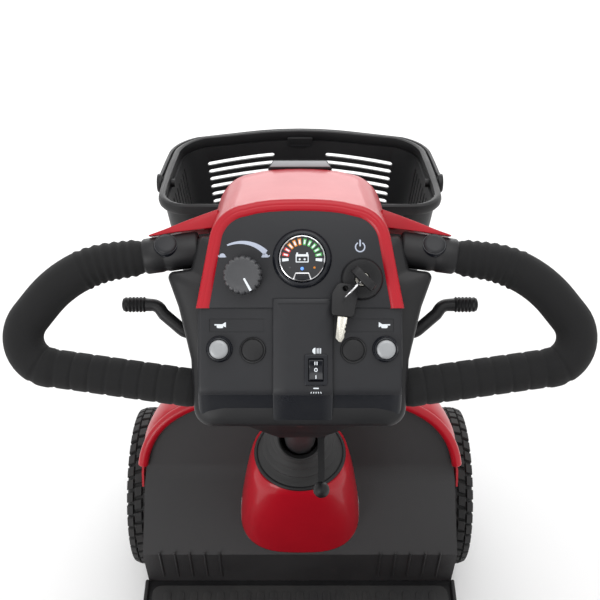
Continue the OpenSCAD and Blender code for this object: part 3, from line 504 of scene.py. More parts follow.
def head_hood():
    """The red hood with its fairings over the bar arms and the blank plate on its crest."""
    brim = [(10.4, 0.6, 0), (9.6, 2.4, 0), (7.6, 4.2, 0), (4.8, 4.9, 0), (2.2, 4.4, 0), (0.6, 3.0, 0),
            (0, 1.0, 0)]
    body = smooth_rows([(0, 1.0, 0), (0.6, -30, 14), (0.8, -65, 29), (2, -100, 44), (7, -117, 45),
                        (20, -128, 38)], 5)
    rows = brim + body[1:]
    outer = [[(x, y, n) for x, y in arch(inset, lift)] for inset, n, lift in rows]
    inner = [[(x, y, n) for x, y in arch(inset + 2.6, lift)] for inset, n, lift in rows]
    cover = shell("hood_cover", outer, inner, HEAD, "red_paint")
    wings = []
    for sign, _ in SIDES:
        top = [(79, 88), (92, 83.5), (112, 76), (131, 68.5), (145, 63.4)]
        low = [(146.2, 62), (131, 63.6), (118, 66.2), (98, 68.6), (79, 70.8)]
        wing = slab("wing", [(sign * x, y) for x, y in top + low], -88, -28, HEAD, "red_paint", edge=1.8)
        wings.append(wing)
    # The black pad lifts the plate above the crest; its black colour is painted shadow under the plate.
    crest = slab("crest", [(-34, 137), (34, 137), (28, 146.6), (-28, 146.6)], -113, -103, HEAD,
                 "black_plastic", edge=1.6)
    plate = slab("plate", [(-31.5, 139.4), (31.5, 139.4), (27.4, 145.6), (-27.4, 145.6)], -103.4, -102.2,
                 HEAD,
                 "button_silver", edge=0.5)
    piece(join("head_hood_cover", [cover, crest, plate] + wings), "tiller", "red_paint", "head_hood")


def panel_profile():
    """The panel's height over the head's plane, from its top end down to its lip, as (up, height) points."""
    bend = [(-80 - 15 * math.sin(math.radians(a)), 1 - 15 * (1 - math.cos(math.radians(a))))
            for a in range(0, 37, 4)]
    u, n = bend[-1]
    slope = math.tan(math.radians(36))
    run = [(v, n - (u - v) * slope * 0.8) for v in (-96, -102, -107, -111, -114.5, -117, -118.5)]
    return [(-3, 1), (-20, 1), (-45, 1), (-70, 1)] + bend + run


def control_panel():
    """The upper plate, the lower face with its two label strips, and the raised spine between them."""
    upper = slab("plate", arch(10.4), -6, 3, HEAD, "fascia", edge=1.0)
    rows = []
    for u, n in panel_profile():
        half = 95.6 if u > -104 else 81.6 + math.sqrt(max(14 ** 2 - (u + 104) ** 2, 4))
        edge = [(half, -13), (half, -3.4), (half - 0.5, -1.6), (half - 1.8, -0.4), (half - 3.6, 0),
                (half - 12, 0),
                (30, 0)]
        rows.append([(x, u, n + d) for x, d in edge] + [(-x, u, n + d) for x, d in reversed(edge)])
    last = [(x, -119.6, z - 4) for x, _, z in rows[-1]]
    rows = rows + [last, [(x * 0.98, -119, z - 12) for x, _, z in last]]
    lower = strip("lower", rows, HEAD, "fascia")
    spine_rows = []
    for u, n in [(2.6, -3), (2.5, 3.0), (2.0, 4.2), (0.8, 4.9)] + [(u, n + 4) for u,
                                                                   n in panel_profile()[1:-2]]:
        across = [(-25.5, -7), (-25.5, -1.4), (-25.1, -0.5), (-24.2, 0), (-10, 0), (16, 0), (29.4, 0),
                  (30.3, -0.5),
                  (30.7, -1.4), (30.7, -7)]
        spine_rows.append([(x, u, n + d) for x, d in across])
    tail = spine_rows[-1]
    spine_rows.append([(x, u - 1.2, z - 3.5) for x, u, z in tail])
    spine_rows.append([(x, u - 1.4, z - 12) for x, u, z in tail])
    spine = strip("spine", spine_rows, HEAD, "fascia")
    rx, ru = ROCKER
    cut(spine, slab("well", rounded_box(rx - 7.4, ru - 11, rx + 7.4, ru + 11, 1), -12, 20, HEAD, "fascia"))
    cut(lower, slab("well", rounded_box(rx - 7.4, ru - 11, rx + 7.4, ru + 11, 1), -9, 20, HEAD, "fascia"))
    for x0, x1 in ((-84.6, -33.5), (38.6, 87.4)):
        cut(lower, slab("label", rounded_box(x0, -29.3, x1, -16.7, 1.2), 0.1, 5, HEAD, "fascia"))
    cut(spine, slab("groove", rounded_box(-20.5, -3.4, 26.5, -2.4, 0.4), 4.4, 9, HEAD, "fascia"))
    # The downturned lip below the bend gets the glossier, darker black: the gloss is its finish, the darker
    # colour is painted shade where it faces down.
    for part in (lower, spine):
        part.data.materials.append(LOOKS["gloss_black"])
        for face in part.data.polygons:
            if (HEAD.inverted() @ face.center).y * 1000 < -88:
                face.material_index = 1
    piece(join("control_fascia", [upper, lower, spine]), "tiller", "black_plastic", "control_panel")


def gauge():
    """The battery gauge: bezel, chrome ring, twelve bars, battery sign, lamps and small window."""
    x, u = GAUGE
    bezel = lathe("bezel",
                  [(22, -2), (27.6, -2), (27.6, 3.2), (27.1, 4.4), (26.2, 5.6), (25.2, 6.6), (24.0, 7.1),
                            (22.8, 7.0), (22.0, 6.2), (21.7, 4.4), (21.6, 3.4), (22, -2)], HEAD,
                  "gloss_black",
                  segments=96, centre=GAUGE)
    chrome = lathe("ring",
                   [(20.0, 4.5), (21.5, 4.5), (21.6, 6.2), (21.2, 7.3), (20.6, 7.6), (20.1, 7.0),
                    (19.8, 5.6),
                            (20.0, 4.5)], HEAD, "chrome_trim", segments=96, centre=GAUGE)
    face = lathe("face", [(0, 3.8), (20.6, 3.8), (20.6, 5.0), (0, 5.0)], HEAD, "dial_face", segments=64,
                 centre=GAUGE)
    marks = []
    looks = ["print_white", "print_red", "print_red", "print_amber", "print_amber", "print_amber"] + \
            ["print_green"] * 5 + ["print_white"]
    for i, look in enumerate(looks):
        angle = math.radians(184 - 188 * i / 11)
        along = Vector((math.cos(angle), math.sin(angle)))
        across = Vector((-along.y, along.x))
        middle = Vector(GAUGE) + along * 15.6
        glow_box = [middle + along * a * 3.0 + across * b * 1.5
                    for a, b in ((-1, -0.8), (1, -1), (1, 1), (-1, 0.8))]
        marks.append(slab("tick", [tuple(p) for p in glow_box], 5.0, 5.12, HEAD, look))
        core = [middle + along * a * 1.9 + across * b * 0.75
                for a, b in ((-1, -1), (1, -1), (1, 1), (-1, 1))]
        marks.append(slab("tick", [tuple(p) for p in core], 5.0, 5.22, HEAD, "print_white"))
    battery = slab("battery", rounded_box(x - 6.0, u - 3.6, x + 6.0, u + 4.0, 0.5, 2), 5.0, 5.22, HEAD,
                   "print_white")
    cut(battery,
        slab("inside", rounded_box(x - 5.1, u - 2.7, x + 5.1, u + 1.9, 0.3, 2), 4, 7, HEAD, "print_white"))
    marks.append(battery)
    for dx in (-4.6, 4.6):
        marks.append(slab("terminal", rounded_box(x + dx - 0.8, u + 4, x + dx + 0.8, u + 5.6, 0.2, 2), 5.0,
                          5.22, HEAD,
                          "print_white"))
    for dx in (-2.3, 2.3):
        marks.append(lathe("cell", [(0, 5.22), (0.95, 5.22), (0.95, 5.0)], HEAD, "print_white", 20,
                           (x + dx, u - 0.7)))
    marks.append(lathe("blue_lamp", [(0, 5.9), (0.9, 5.8), (1.5, 5.3), (1.6, 5.0)], HEAD, "lamp_blue", 24,
                       (x, u - 9.3)))
    marks.append(lathe("amber_dot", [(0, 5.4), (0.9, 5.3), (1.1, 5.0)], HEAD, "amber_plastic", 20,
                       (x + 11.4, u - 8.4)))
    marks.append(lathe("grey_dot", [(0, 5.4), (0.9, 5.3), (1.1, 5.0)], HEAD, "dial_grey", 20,
                       (x - 11.4, u - 8.4)))
    window = [(x - 8.6, u - 18.4), (x + 8.6, u - 18.4), (x + 6.4, u - 13.0), (x - 6.4, u - 13.0)]
    marks.append(slab("window", window, 5.0, 6.4, HEAD, "chrome_trim", edge=0.4))
    window = [(x - 7.4, u - 19.6), (x + 7.4, u - 19.6), (x + 5.8, u - 13.8), (x - 5.8, u - 13.8)]
    marks.append(slab("window", window, 5.0, 6.9, HEAD, "gloss_black", edge=0.5))
    piece(join("gauge_instrument", [bezel, chrome, face] + marks), "tiller", "gloss_black", "battery_gauge")


def speed_dial():
    """The ribbed knob and its pointer."""
    teeth = 18
    profile = [(17.9, 3.8), (18.2, 4.6), (17.9, 10), (17.3, 15.0), (16.7, 16.2), (15.7, 16.9), (14.2, 17.0),
               (12.6, 16.6), (8, 16.4), (0.01, 16.4)]
    count = teeth * 10
    rings = []
    for radius, height in profile:
        depth = 1.3 if radius > 15 else 0.0
        ring = []
        for k in range(count):
            angle = 2 * math.pi * k / count
            dip = depth * max(0.0, math.cos(teeth * angle)) ** 2
            r = radius - dip
            ring.append((DIAL[0] + r * math.cos(angle), DIAL[1] + r * math.sin(angle), height))
        rings.append(ring)
    knob = lofted("knob", rings, HEAD, "dial_grey")
    along = Vector((math.cos(math.radians(-61)), math.sin(math.radians(-61))))
    across = Vector((-along.y, along.x))
    line = [Vector(DIAL) + along * a + across * b
            for a, b in ((3.5, -0.9), (16.4, -1.15), (16.4, 1.15), (3.5, 0.9))]
    pointer = slab("pointer", [tuple(p) for p in line], 16.2, 17.35, HEAD, "print_white", edge=0.2)
    piece(join("speed_knob", [knob, pointer]), "dial", "dial_grey", "speed_dial")


def print_marks():
    """The printed symbols of the panel: the speed arc, slow and fast animals, power, horns and lights."""
    marks = []

    def flat(outline, top, look="print_pale", base=None):
        low = top - 0.5 if base is None else base
        marks.append(slab("mark", outline, low, top, HEAD, look))

    cx, cu = DIAL
    outer = arc(cx, cu - 1.5, 33.5, 117, 47, 24)
    inner = [(cx + 0.8 + (32.6 - 4.8 * (k / 24)) * math.cos(math.radians(117 - 70 * k / 24)),
              cu - 1.8 + (32.6 - 4.8 * (k / 24)) * math.sin(math.radians(117 - 70 * k / 24)))
             for k in range(25)]
    flat(outer + inner[::-1], 3.3, "print_pale")
    for x, sign in ((-72.0, -1), (-32.5, 1)):
        shape = arc(x, 41.0, 2.9, 8, 172, 8)
        flat(shape + [(x - 3.7, 40.4), (x - 2, 40.1), (x + 2, 40.1), (x + 3.7, 40.4)], 3.3)
        flat([(x + sign * 2.4, 41.5), (x + sign * 4.5, 42.5), (x + sign * 4.6, 41.2),
              (x + sign * 2.8, 40.6)], 3.3)
    ring = arc(55.8, 49.8, 4.9, 118, 422, 28) + arc(55.8, 49.8, 3.7, 422, 118, 28)
    flat(ring, 3.3)
    flat(rounded_box(55.1, 50.4, 56.5, 56.6, 0.3, 2), 3.3)
    for x, sign in ((-74.4, 1), (78.7, -1)):
        horn = [(x - sign * 5.2, -21.9), (x + sign * 2.2, -21.9), (x + sign * 4.6, -20.2),
                (x + sign * 5.4, -20.2),
                (x + sign * 5.4, -24.6), (x + sign * 4.6, -24.6), (x + sign * 2.2, -23.1),
                (x - sign * 5.2, -23.1)]
        flat(horn, 0.45, "print_white", base=0.0)
        loop = rounded_box(x - 3.2, -25.6, x + 3.0, -22.6, 1.4, 4)
        flat(loop, 0.4, "print_white", base=0.0)
    x = 14.9
    flat(arc(x - 0.6, -46.5, 2.9, 90, 270, 10), 5.3, "print_white")
    for k in range(3):
        flat(rounded_box(x + 0.6 + k * 1.6, -49.0, x + 1.4 + k * 1.6, -44.0, 0.3, 2), 5.3, "print_white")
    for k in range(-2, 3):
        flat([(x + k * 1.7 - 0.4, -82.2), (x + k * 1.7 + 0.4, -82.2), (x + k * 2.4 + 0.4, -86),
              (x + k * 2.4 - 0.4, -86)],
             4.3, "print_white", base=2.0)
    flat(rounded_box(x - 2.6, -81.8, x + 2.6, -80.6, 0.5, 2), 5.1, "print_white", base=3.0)
    piece(join("panel_marks", marks), "tiller", "black_plastic")


def key_parts():
    """The switch boss, the key in it, its ring and the spare key."""
    x, u = KEY
    boss = lathe("boss",
                 [(6.9, -2), (19.9, -2), (19.8, 3.4), (19.3, 5.4), (18.6, 7.0), (17.6, 8.0), (16, 8.1),
                          (12, 7.6), (7.4, 7.4), (6.9, 6.8), (6.9, -2)], HEAD, "black_plastic", 80, KEY)
    piece(boss, "tiller", "black_plastic", "key_switch")
    barrel = lathe("barrel", [(0, 7.2), (6.2, 7.2), (6.5, 6.6), (6.5, -4), (0, -4)], HEAD, "key_steel", 40,
                   KEY)
    at = HEAD @ place(x, u, 0, turn=45)
    upright = at @ quarter("Y")
    blade = slab("blade", rounded_box(-16.5, -3.6, -7, 3.6, 0.5, 2), -1.1, 1.1, upright, "key_steel",
                 edge=0.2)
    bow_shape = (arc(-30, -7, 6, 180, 270, 6) + arc(-22, -7, 6, 270, 330, 5) + [(-16, -5), (-14.6, -4.6)]
                 + [(-14.6, 4.6), (-16, 5)] + arc(-22, 7, 6, 30, 90, 5) + arc(-30, 7, 6, 90, 180, 6))
    bow = slab("bow", bow_shape, -3.7, 3.7, upright, "black_plastic", edge=1.4)
    cut(bow, slab("eye", arc(-31, 0, 2.6, 0, 345, 23), -9, 9, upright, "black_plastic"))
    hoop = [Vector((0, 12 * math.cos(2 * math.pi * k / 40), 12 * math.sin(2 * math.pi * k / 40)))
            for k in range(40)]
    ring_at = HEAD @ place(x - 9.4, u - 9.4, 21.4) @ Matrix.Rotation(math.radians(-45), 4, "Z")
    ring = tube("split_ring", hoop, 0.85, ring_at, "chrome_trim", 12, closed=True)
    lean = Matrix.Rotation(math.radians(-8), 4, "X")
    hang = HEAD @ place(x - 17, u - 20, 11.5, turn=-6) @ lean
    head_shape = rounded([(-10.4, -15), (10.4, -15), (12.2, 5), (7.5, 16), (-7.5, 16), (-12.2, 5)],
                         [4, 4, 6, 6, 6, 6])
    spare = slab("spare_bow", head_shape, -3.2, 3.2, hang, "black_plastic", edge=1.2)
    cut(spare, slab("eye", arc(0, 11, 2.8, 0, 345, 23), -9, 9, hang, "black_plastic"))
    teeth = [(-4.4, -13), (4.4, -13), (4.4, -21), (3.3, -22.4), (4.3, -24), (2.8, -26), (4.2, -28.4),
             (3.0, -31),
             (3.4, -34), (1.0, -38.5), (-0.8, -38.5), (-4.4, -35)]
    spare_blade = slab("spare_blade", teeth, -1.1, 1.1, hang, "key_steel", edge=0.25)
    groove = slab("groove", rounded_box(-1.2, -35, 0.4, -13, 0.5, 2), 0.7, 3, hang, "key_steel")
    cut(spare_blade, groove)
    whole = join("key_and_spare", [barrel, blade, bow, ring, spare, spare_blade])
    piece(whole, "key", "key_steel", "key_set")


def buttons():
    """Horn buttons in their collars, the blank caps and the three-way light rocker."""
    trims = []
    for (x, u), (_, side) in zip(HORNS, reversed(SIDES)):
        cap = lathe("cap",
                    [(0, 10.9), (5.5, 10.8), (7.9, 10.4), (8.6, 9.7), (8.8, 8.6), (8.7, 6.3), (6.6, 6.2),
                            (6.2, 3), (0, 3)], HEAD, "button_silver", 48, (x, u))
        cap.name = f"horn_cap_{side}"
        piece(cap, f"horn_{side}", "button_silver", f"horn_button_{side}")
        trims.append(lathe("collar",
                           [(8.95, 1), (12.4, 1), (12.3, 2.6), (11.6, 3.6), (11.2, 3.9), (11.0, 6.8),
                                      (10.5, 7.9), (9.6, 8.1), (8.95, 7.4), (8.95, 1)], HEAD, "gloss_black",
                           56, (x, u)))
    for x, u in BLANKS:
        trims.append(lathe("blank",
                           [(0, 2.4), (8.4, 2.3), (9.6, 2.0), (9.9, 1.5), (10.3, 1.4), (10.8, 2.6),
                            (11.6, 3.0),
                                     (12.1, 2.4), (12.2, 0.6)], HEAD, "black_plastic", 56, (x, u)))
    x, u = ROCKER
    bezel = slab("bezel", rounded_box(x - 10.7, u - 14.4, x + 10.7, u + 14.4, 1.6), 4.6, 6.9, HEAD,
                 "gloss_black",
                 edge=0.7)
    cut(bezel,
        slab("well", rounded_box(x - 7.1, u - 10.8, x + 7.1, u + 10.8, 0.7), 0, 12, HEAD, "gloss_black"))
    trims.append(bezel)
    piece(join("button_trims", trims), "tiller", "black_plastic", "switch_trim")
    half = 6.5
    top = [(-10.2, 6.0), (-9.6, 8.0), (-8.6, 9.0), (-6, 7.7), (-3, 6.7), (0, 6.3), (3, 6.7), (6, 7.7),
           (8.6, 9.0),
           (9.6, 8.0), (10.2, 6.0), (6, -2), (-6, -2)]
    across = HEAD @ place(x - half, u, 0) @ quarter("Z") \
        @ quarter("X")
    rocker = slab("rocker", top, 0, 2 * half, across, "gloss_black", edge=0.6)
    marks = []
    for dx in (-1.0, 1.0):
        marks.append(slab("two", rounded_box(x + dx - 0.45, u + 4.6, x + dx + 0.45, u + 7.8, 0.2, 2), 6.0,
                          8.75, HEAD,
                          "print_white"))
    ring = slab("zero", rounded_box(x - 1.6, u - 1.8, x + 1.6, u + 1.8, 1.5, 6), 5.2, 6.75, HEAD,
                "print_white")
    cut(ring,
        slab("inner", rounded_box(x - 0.8, u - 1.0, x + 0.8, u + 1.0, 0.7, 6), 2, 9, HEAD, "print_white"))
    marks.append(ring)
    marks.append(slab("one", rounded_box(x - 0.45, u - 8.0, x + 0.45, u - 4.8, 0.2, 2), 6.0, 8.85, HEAD,
                      "print_white"))
    piece(join("light_switch_rocker", [rocker] + marks), "rocker", "gloss_black", "light_rocker")


def head_housing():
    """The black shell behind the panel, drawn in to the column, with a slot on each side for the paddles."""
    corners = [(96, 62), (104, 30), (128, 27), (116, -6), (104, -56), (100, -120), (-100, -120),
               (-104, -56),
               (-116, -6), (-128, 27), (-104, 30), (-96, 62)]
    radii = [6, 4, 6, 14, 20, 18, 18, 20, 14, 6, 4, 6]
    outline = rounded(corners, radii, 6)

    def scaled(k, n, drop=0.0):
        return [(x * k, (y + 29) * k - 29 + drop, n) for x, y in outline]

    throat = []
    for x, y in outline:
        angle = math.atan2(y + 29, x)
        c, s = 35 * math.cos(angle), 35 * math.sin(angle)
        throat.append((c, -128 + s * math.cos(math.radians(17)), -176 - s * math.sin(math.radians(17))))

    def toward(k, n_drop):
        return [tuple(Vector(a).lerp(Vector(b), k)) for a, b in zip(scaled(1, -100 - n_drop), throat)]

    rings = [scaled(0.8, -9), scaled(0.9, -11), scaled(0.965, -13.5), scaled(0.99, -17), scaled(1, -22),
             scaled(1, -45), scaled(1, -75), scaled(0.995, -94), toward(0.06, 0), toward(0.25, 1),
             toward(0.5, 2),
             toward(0.75, 1), toward(0.94, 0), throat]
    body = lofted("housing", rings, HEAD, "black_plastic")
    for sign in (1, -1):
        cut(body, slab("slot", rounded_box(sign * 115 - 40, LEVER_U - 11, sign * 115 + 40, LEVER_U + 11, 4),
                       LEVER_N - 28, LEVER_N + 28, HEAD, "black_plastic", edge=3))
    piece(bevel(body, 0.8, 2), "tiller", "black_plastic", "head_housing")


def loop_path():
    """One side of the handlebar's loop, from its top middle round to its bottom middle."""
    corners = [(55, 56), (223, 32.5), (294.5, -57.6), (60, -91)]
    closed = rounded(corners, [0, 110, 30, 0], 14)
    middle = closed[15:45]
    top = [tuple(Vector(corners[0]).lerp(Vector(middle[0]), t))
           for t in (0, 0.15, 0.3, 0.45, 0.6, 0.75, 0.9)]
    low = [tuple(Vector(middle[-1]).lerp(Vector(corners[3]), t)) for t in
           (0.08, 0.18, 0.28, 0.38, 0.48, 0.58, 0.68, 0.78, 0.88, 1)]
    return [(0, 60), (20, 59.6), (38, 58.4)] + top + middle + low + [(38, -93), (20, -94)]


def handlebar():
    """The bar, the ribbed foam grips, and the sleeves with their round caps."""
    half = loop_path()
    whole = half + [(0, -94)] + [(-x, y) for x, y in reversed(half[1:])]
    bar = tube("bar", [(x, y, BAR_N) for x, y in whole], BAR_R, HEAD, "frame_paint", 28, closed=True)
    bar.name = "handlebar_tube"
    piece(bar, "tiller", "frame_paint", "handlebar")
    parts = []
    for sign, _ in SIDES:
        path, radii = [], []
        dense = []
        for a, b in zip(half, half[1:]):
            steps = max(1, round((Vector(b) - Vector(a)).length / 1.6))
            dense += [tuple(Vector(a).lerp(Vector(b), k / steps)) for k in range(steps)]
        dense = [p for p in dense if (p[1] > 0 and p[0] > 152) or (p[1] <= 0 and p[0] > 104)]
        travelled = 0.0
        for i, (x, y) in enumerate(dense):
            if i:
                travelled += (Vector(dense[i]) - Vector(dense[i - 1])).length
            base = 17.2 + 2.2 * min(1, travelled / 60) if y > 0 or x > 240 else 18.8
            if y > 8 and travelled < 62:
                base += 0.75 * math.cos(travelled / 8.4 * 2 * math.pi)
            if y < -20 and x < 262:
                base -= 1.1 * max(0.0, math.cos((x - 120) / 16.5 * 2 * math.pi)) ** 6
            ends = min(travelled, 5) / 5
            radii.append(base * (0.86 + 0.14 * math.sin(ends * math.pi / 2)))
            path.append((sign * x, y, BAR_N))
        parts.append(tube("grip", path, radii, HEAD, "foam_grip", 32))
    piece(join("foam_grips", parts), "tiller", "foam_grip", "grips")
    sleeves = []
    for sign, _ in SIDES:
        a = Vector((sign * 97, 50.1, BAR_N))
        b = Vector((sign * 152, 42.4, BAR_N))
        steps = [(0, 15.2), (0.02, 16.6), (0.05, 17.3), (0.3, 17.4), (0.56, 17.4), (0.6, 16.6),
                 (0.64, 16.6), (0.68, 17.4),
                 (0.94, 17.3), (0.97, 16.4), (1, 14.6)]
        sleeves.append(tube("sleeve", [a.lerp(b, t) for t, _ in steps], [r for _, r in steps], HEAD,
                            "black_plastic", 40,
                            round_ends=False))
        at = HEAD @ place(sign * 128, 45.8, BAR_N, -27)
        sleeves.append(lathe("cap",
                             [(0, 20.0), (7, 19.8), (9.2, 19.2), (10.3, 18.0), (10.5, 16.8), (10.5, 0),
                              (0, 0)], at,
                             "fascia", 40))
        sleeves.append(lathe("gap", [(10.4, 12), (11.6, 12), (11.7, 17.3), (11.2, 18), (10.4, 17.9)], at,
                             "gloss_black", 40))
    piece(join("handlebar_sleeves", sleeves), "tiller", "black_plastic", "arm_sleeves")


def drive_paddles():
    """The bar under the grips, with a ribbed tip at each end."""
    parts = []
    for sign, _ in SIDES:
        path = [(0, LEVER_U), (60, LEVER_U), (112, LEVER_U)] + arc(112, LEVER_U + 12, 12, -90, -48, 5)
        path += [(138, -13.6)] + list(reversed(arc(150, -15.4, 11, 96, 150, 5))) + [(160, -4), (172, -4)]
        radii = [6.3] * (len(path) - 2) + [6.8, 6.4]
        parts.append(tube("arm", [(sign * x, y, LEVER_N) for x, y in path], radii, HEAD, "black_plastic",
                          20))
        ribs = [(156, 6.6)]
        for k in range(5):
            ribs += [(157.5 + k * 3.6, 8.0), (159.3 + k * 3.6, 6.9)]
        ribs += [(176, 7.6), (178.6, 6.2), (179.8, 3.2)]
        parts.append(tube("tip", [(sign * x, -4, LEVER_N) for x, _ in ribs], [r for _, r in ribs], HEAD,
                          "black_plastic", 28, round_ends=False))
    hub = HEAD @ place(0, LEVER_U, LEVER_N) @ quarter("X")
    parts.append(lathe("hub",
                       [(4.2, -7.6), (9.2, -7.6), (9.8, -7), (9.8, 7), (9.2, 7.6), (4.2, 7.6), (4.2, -7.6)],
                       hub,
                       "black_plastic", 40))
    piece(join("drive_paddle_pair", parts), "drive_paddles", "black_plastic", "drive_lever")


# ---- Basket ----


def basket_plan():
    """Plan of the basket, from the right of its near edge round to the left."""
    corner = arc(128, 34, 32, -90, 0, 7) + arc(100, 142, 56, 0, 62, 9)
    middle = [(46, 212.4), (24, 215.8), (0, 217), (-24, 215.8), (-46, 212.4)]
    side = [(160, 60), (159, 90), (157.5, 118)]
    right = corner[:8] + side + corner[8:] + [(64, 208)]
    near = [(96, 2), (64, 2), (32, 2), (0, 2), (-32, 2), (-64, 2), (-96, 2)]
    return right + middle + [(-x, y) for x, y in reversed(right)] + near[::-1]


def moved_out(p, by, centre=(0, 100)):
    """A point of the plan moved away from a centre."""
    v = Vector(p)
    return v + (v - Vector(centre)).normalized() * by


def bowed_slot(sign, near, far, height):
    """Outline of a slot 4.8 wide that dips toward its outer end, with round ends."""
    top, low = [], []
    for t, fill in ((0, 0.3), (0.012, 0.75), (0.03, 1), (0.25, 1), (0.5, 1), (0.75, 1), (0.97, 1),
                    (0.988, 0.75), (1, 0.3)):
        x, z = sign * (near + (far - near) * t), height - 4.5 * t ** 2
        top.append((x, z + 2.4 * fill))
        low.append((x, z - 2.4 * fill))
    return top + low[::-1]


def basket():
    """The slotted tub, its floor, ribs, recess, hooks and pivot pins."""
    plan = basket_plan()

    def ring(z, out, thick):
        return [(*moved_out(p, out - thick), z) for p in plan]

    wall = [(-13, -3.2), (-40, -7.2), (-80, -13.6), (-120, -20), (-144, -23.6), (-149, -26)]
    rim_out = [(-13, 0.8), (-10, 3.4), (-5, 4.2), (-1.5, 3.2), (0, 0.6)]
    outer = [ring(z, out, 0) for z, out in list(reversed(rim_out)) + wall]
    rim_in = [(-13, -3.2), (-9, -4.6), (-4, -4.8), (-0.8, -4.0), (0.2, -1.6)]
    inner = [ring(z, out - 0.2, 0) for z, out in list(reversed(rim_in))] + [ring(z, out, 3.4) for z,
                                                                            out in wall]
    tub = shell("tub", outer, inner, BASKET, "black_plastic", wrap=True)
    upright = BASKET @ quarter("X")
    cutters = []
    for sign in (1, -1):
        for i in range(9):
            cutters.append(slab("slot", bowed_slot(sign, 34, 121 - i, -30.5 - 10.4 * i), -240, -120,
                                upright,
                                "black_plastic"))
        for i in range(4):
            cutters.append(slab("slot", bowed_slot(sign, 20, 106, -84 - 11 * i), -45, 20, upright,
                                "black_plastic"))
        for k in range(8):
            y, lean = 46 + 12.5 * k, 5 + k
            shape = [(y, -126), (y + 4.6, -126), (y + 4.6 + lean, -25), (y + lean, -25)]
            cutters.append(prism("slot", shape, (sign * 100, sign * 190), 0, BASKET, "black_plastic"))
    cut(tub, join("slots", cutters))
    recess = slab("recess", rounded_box(-17, -24, 17, -8, 2.4, 3), -214.6, -208.6, upright, "black_plastic",
                  edge=1.2)
    line = slab("recess_line", rounded_box(-13, -19.6, 13, -18, 0.7, 2), -209, -207.9, upright, "fascia")
    floor_shape = [tuple(moved_out(p, -24.6)) for p in plan]
    floor = slab("floor", floor_shape, -149.5, -146, BASKET, "black_plastic", edge=0.8)
    holes = []
    for x in range(-4, 5):
        for y in range(4):
            holes.append(slab("hole", rounded_box(x * 24 - 8, 42 + y * 34, x * 24 + 8, 64 + y * 34, 3, 3),
                              -160, -140,
                              BASKET, "black_plastic"))
    cut(floor, join("holes", holes))
    ribs = []
    for x in (-84, -42, 0, 42, 84):
        rib = [(x - 1.6, -151), (x + 1.6, -151), (x + 1.6, -143), (x - 1.6, -143)]
        ribs.append(bevel(prism("rib", rib, (34, 176), 1, BASKET, "black_plastic"), 0.8))
    hooks = []
    for sign in (1, -1):
        hooks.append(slab("hook", rounded_box(sign * 70 - 10, -7.5, sign * 70 + 10, 5, 2, 3), -69.5, -58,
                          BASKET,
                          "black_plastic", edge=1))
        pin = BASKET @ place(0, 78, -10) @ quarter("Y")
        hooks.append(lathe("pin",
                           [(0, sign * 150), (4.9, sign * 150), (4.9, sign * 169.5), (4.2, sign * 170.6),
                                   (0, sign * 170.8)], pin, "black_plastic", 24))
    piece(join("basket_tub", [tub, floor, recess, line] + ribs + hooks), "basket_tub", "black_plastic",
          "basket")


def basket_bail():
    """The carry handle, folded forward round the far rim."""
    far = [p for p in basket_plan() if p[1] > 78]
    inside = [(165.3, 72), (165.2, 84)] + [tuple(moved_out(p, 5.4, (0, 90))) for p in far] + [(-165.2, 84),
                                                                                              (-165.3, 72)]
    outside = [(170.8, 72), (171, 84)] + [tuple(moved_out(p, 10.6, (0, 90))) for p in far] + [(-171, 84),
                                                                                              (-170.8, 72)]
    levels = [(-20, 0.25), (-19.4, 0.08), (-17, 0), (-5, 0), (-2.8, 0.08), (-2, 0.25)]
    outer, inner = [], []
    for z, soft in levels:
        outer.append([(*Vector(a).lerp(Vector(b), soft), z) for a, b in zip(outside, inside)])
        inner.append([(*Vector(b).lerp(Vector(a), soft), z) for a, b in zip(outside, inside)])
    parts = [shell("band", outer, inner, BASKET, "black_plastic")]
    for sign in (1, -1):
        boss = BASKET @ place(0, 78, -10) @ quarter("Y")
        parts.append(lathe("boss",
                           [(5.1, sign * 165.2), (10.6, sign * 165.2), (11, sign * 166), (11, sign * 170),
                                    (10.4, sign * 170.9), (5.1, sign * 170.9), (5.1, sign * 165.2)], boss,
                           "black_plastic", 40))
    grip = [(x, 228.2 - x * x * 0.0012) for x in range(-28, 29, 7)]
    ribs = [tube("rib", [(x, y - 3.4, -18.5), (x, y - 0.6, -18), (x, y - 0.6, -4), (x, y - 3.4, -3.5)], 1.0,
                 BASKET,
                 "black_plastic", 10) for x, y in grip]
    piece(join("basket_bail_band", parts + ribs), "basket_bail", "black_plastic", "basket_handle")


# ---- Tiller boot, covers and floor ----


def boot():
    """The bellows at the foot of the tiller, curving from upright to the tiller's tilt."""
    folds = 5
    rows = []
    count = 48
    steps = folds * 8
    for i in range(steps + 1):
        t = i / steps
        base = 59 - 29 * t ** 0.9
        wave = 3.6 * (1 - 0.35 * t) * math.cos(t * folds * 2 * math.pi)
        radius = base + wave - 3.0
        lift = -8.5 + 103 * t
        lean = math.radians(27 * t)
        ring = []
        for k in range(count):
            a = 2 * math.pi * k / count
            y = radius * math.sin(a)
            ring.append((radius * math.cos(a), 311 + y * math.cos(lean) - lift * math.sin(lean),
                         400 + y * math.sin(lean) + lift * math.cos(lean)))
        rows.append(ring)
    inner = [[tuple(Vector(p).lerp(Vector([sum(q[j] for q in ring) / count for j in range(3)]), 0.06))
              for p in ring]
             for ring in rows]
    gaiter = shell("tiller_boot", rows, inner, WORLD, "bellows_rubber", wrap=True)
    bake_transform(gaiter)
    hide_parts("tiller_gaiter")


COWL = [(146, 92, 62.6, 300), (240, 90, 62, 302), (320, 80, 64, 306), (370, 70, 64, 310),
        (384, 64, 61.6, 311),
        (389, 60.5, 58.4, 311)]


def wall_y(z):
    """Where the sloping footwell wall stands at a height."""
    return 262 + 0.6 * (z - 155)


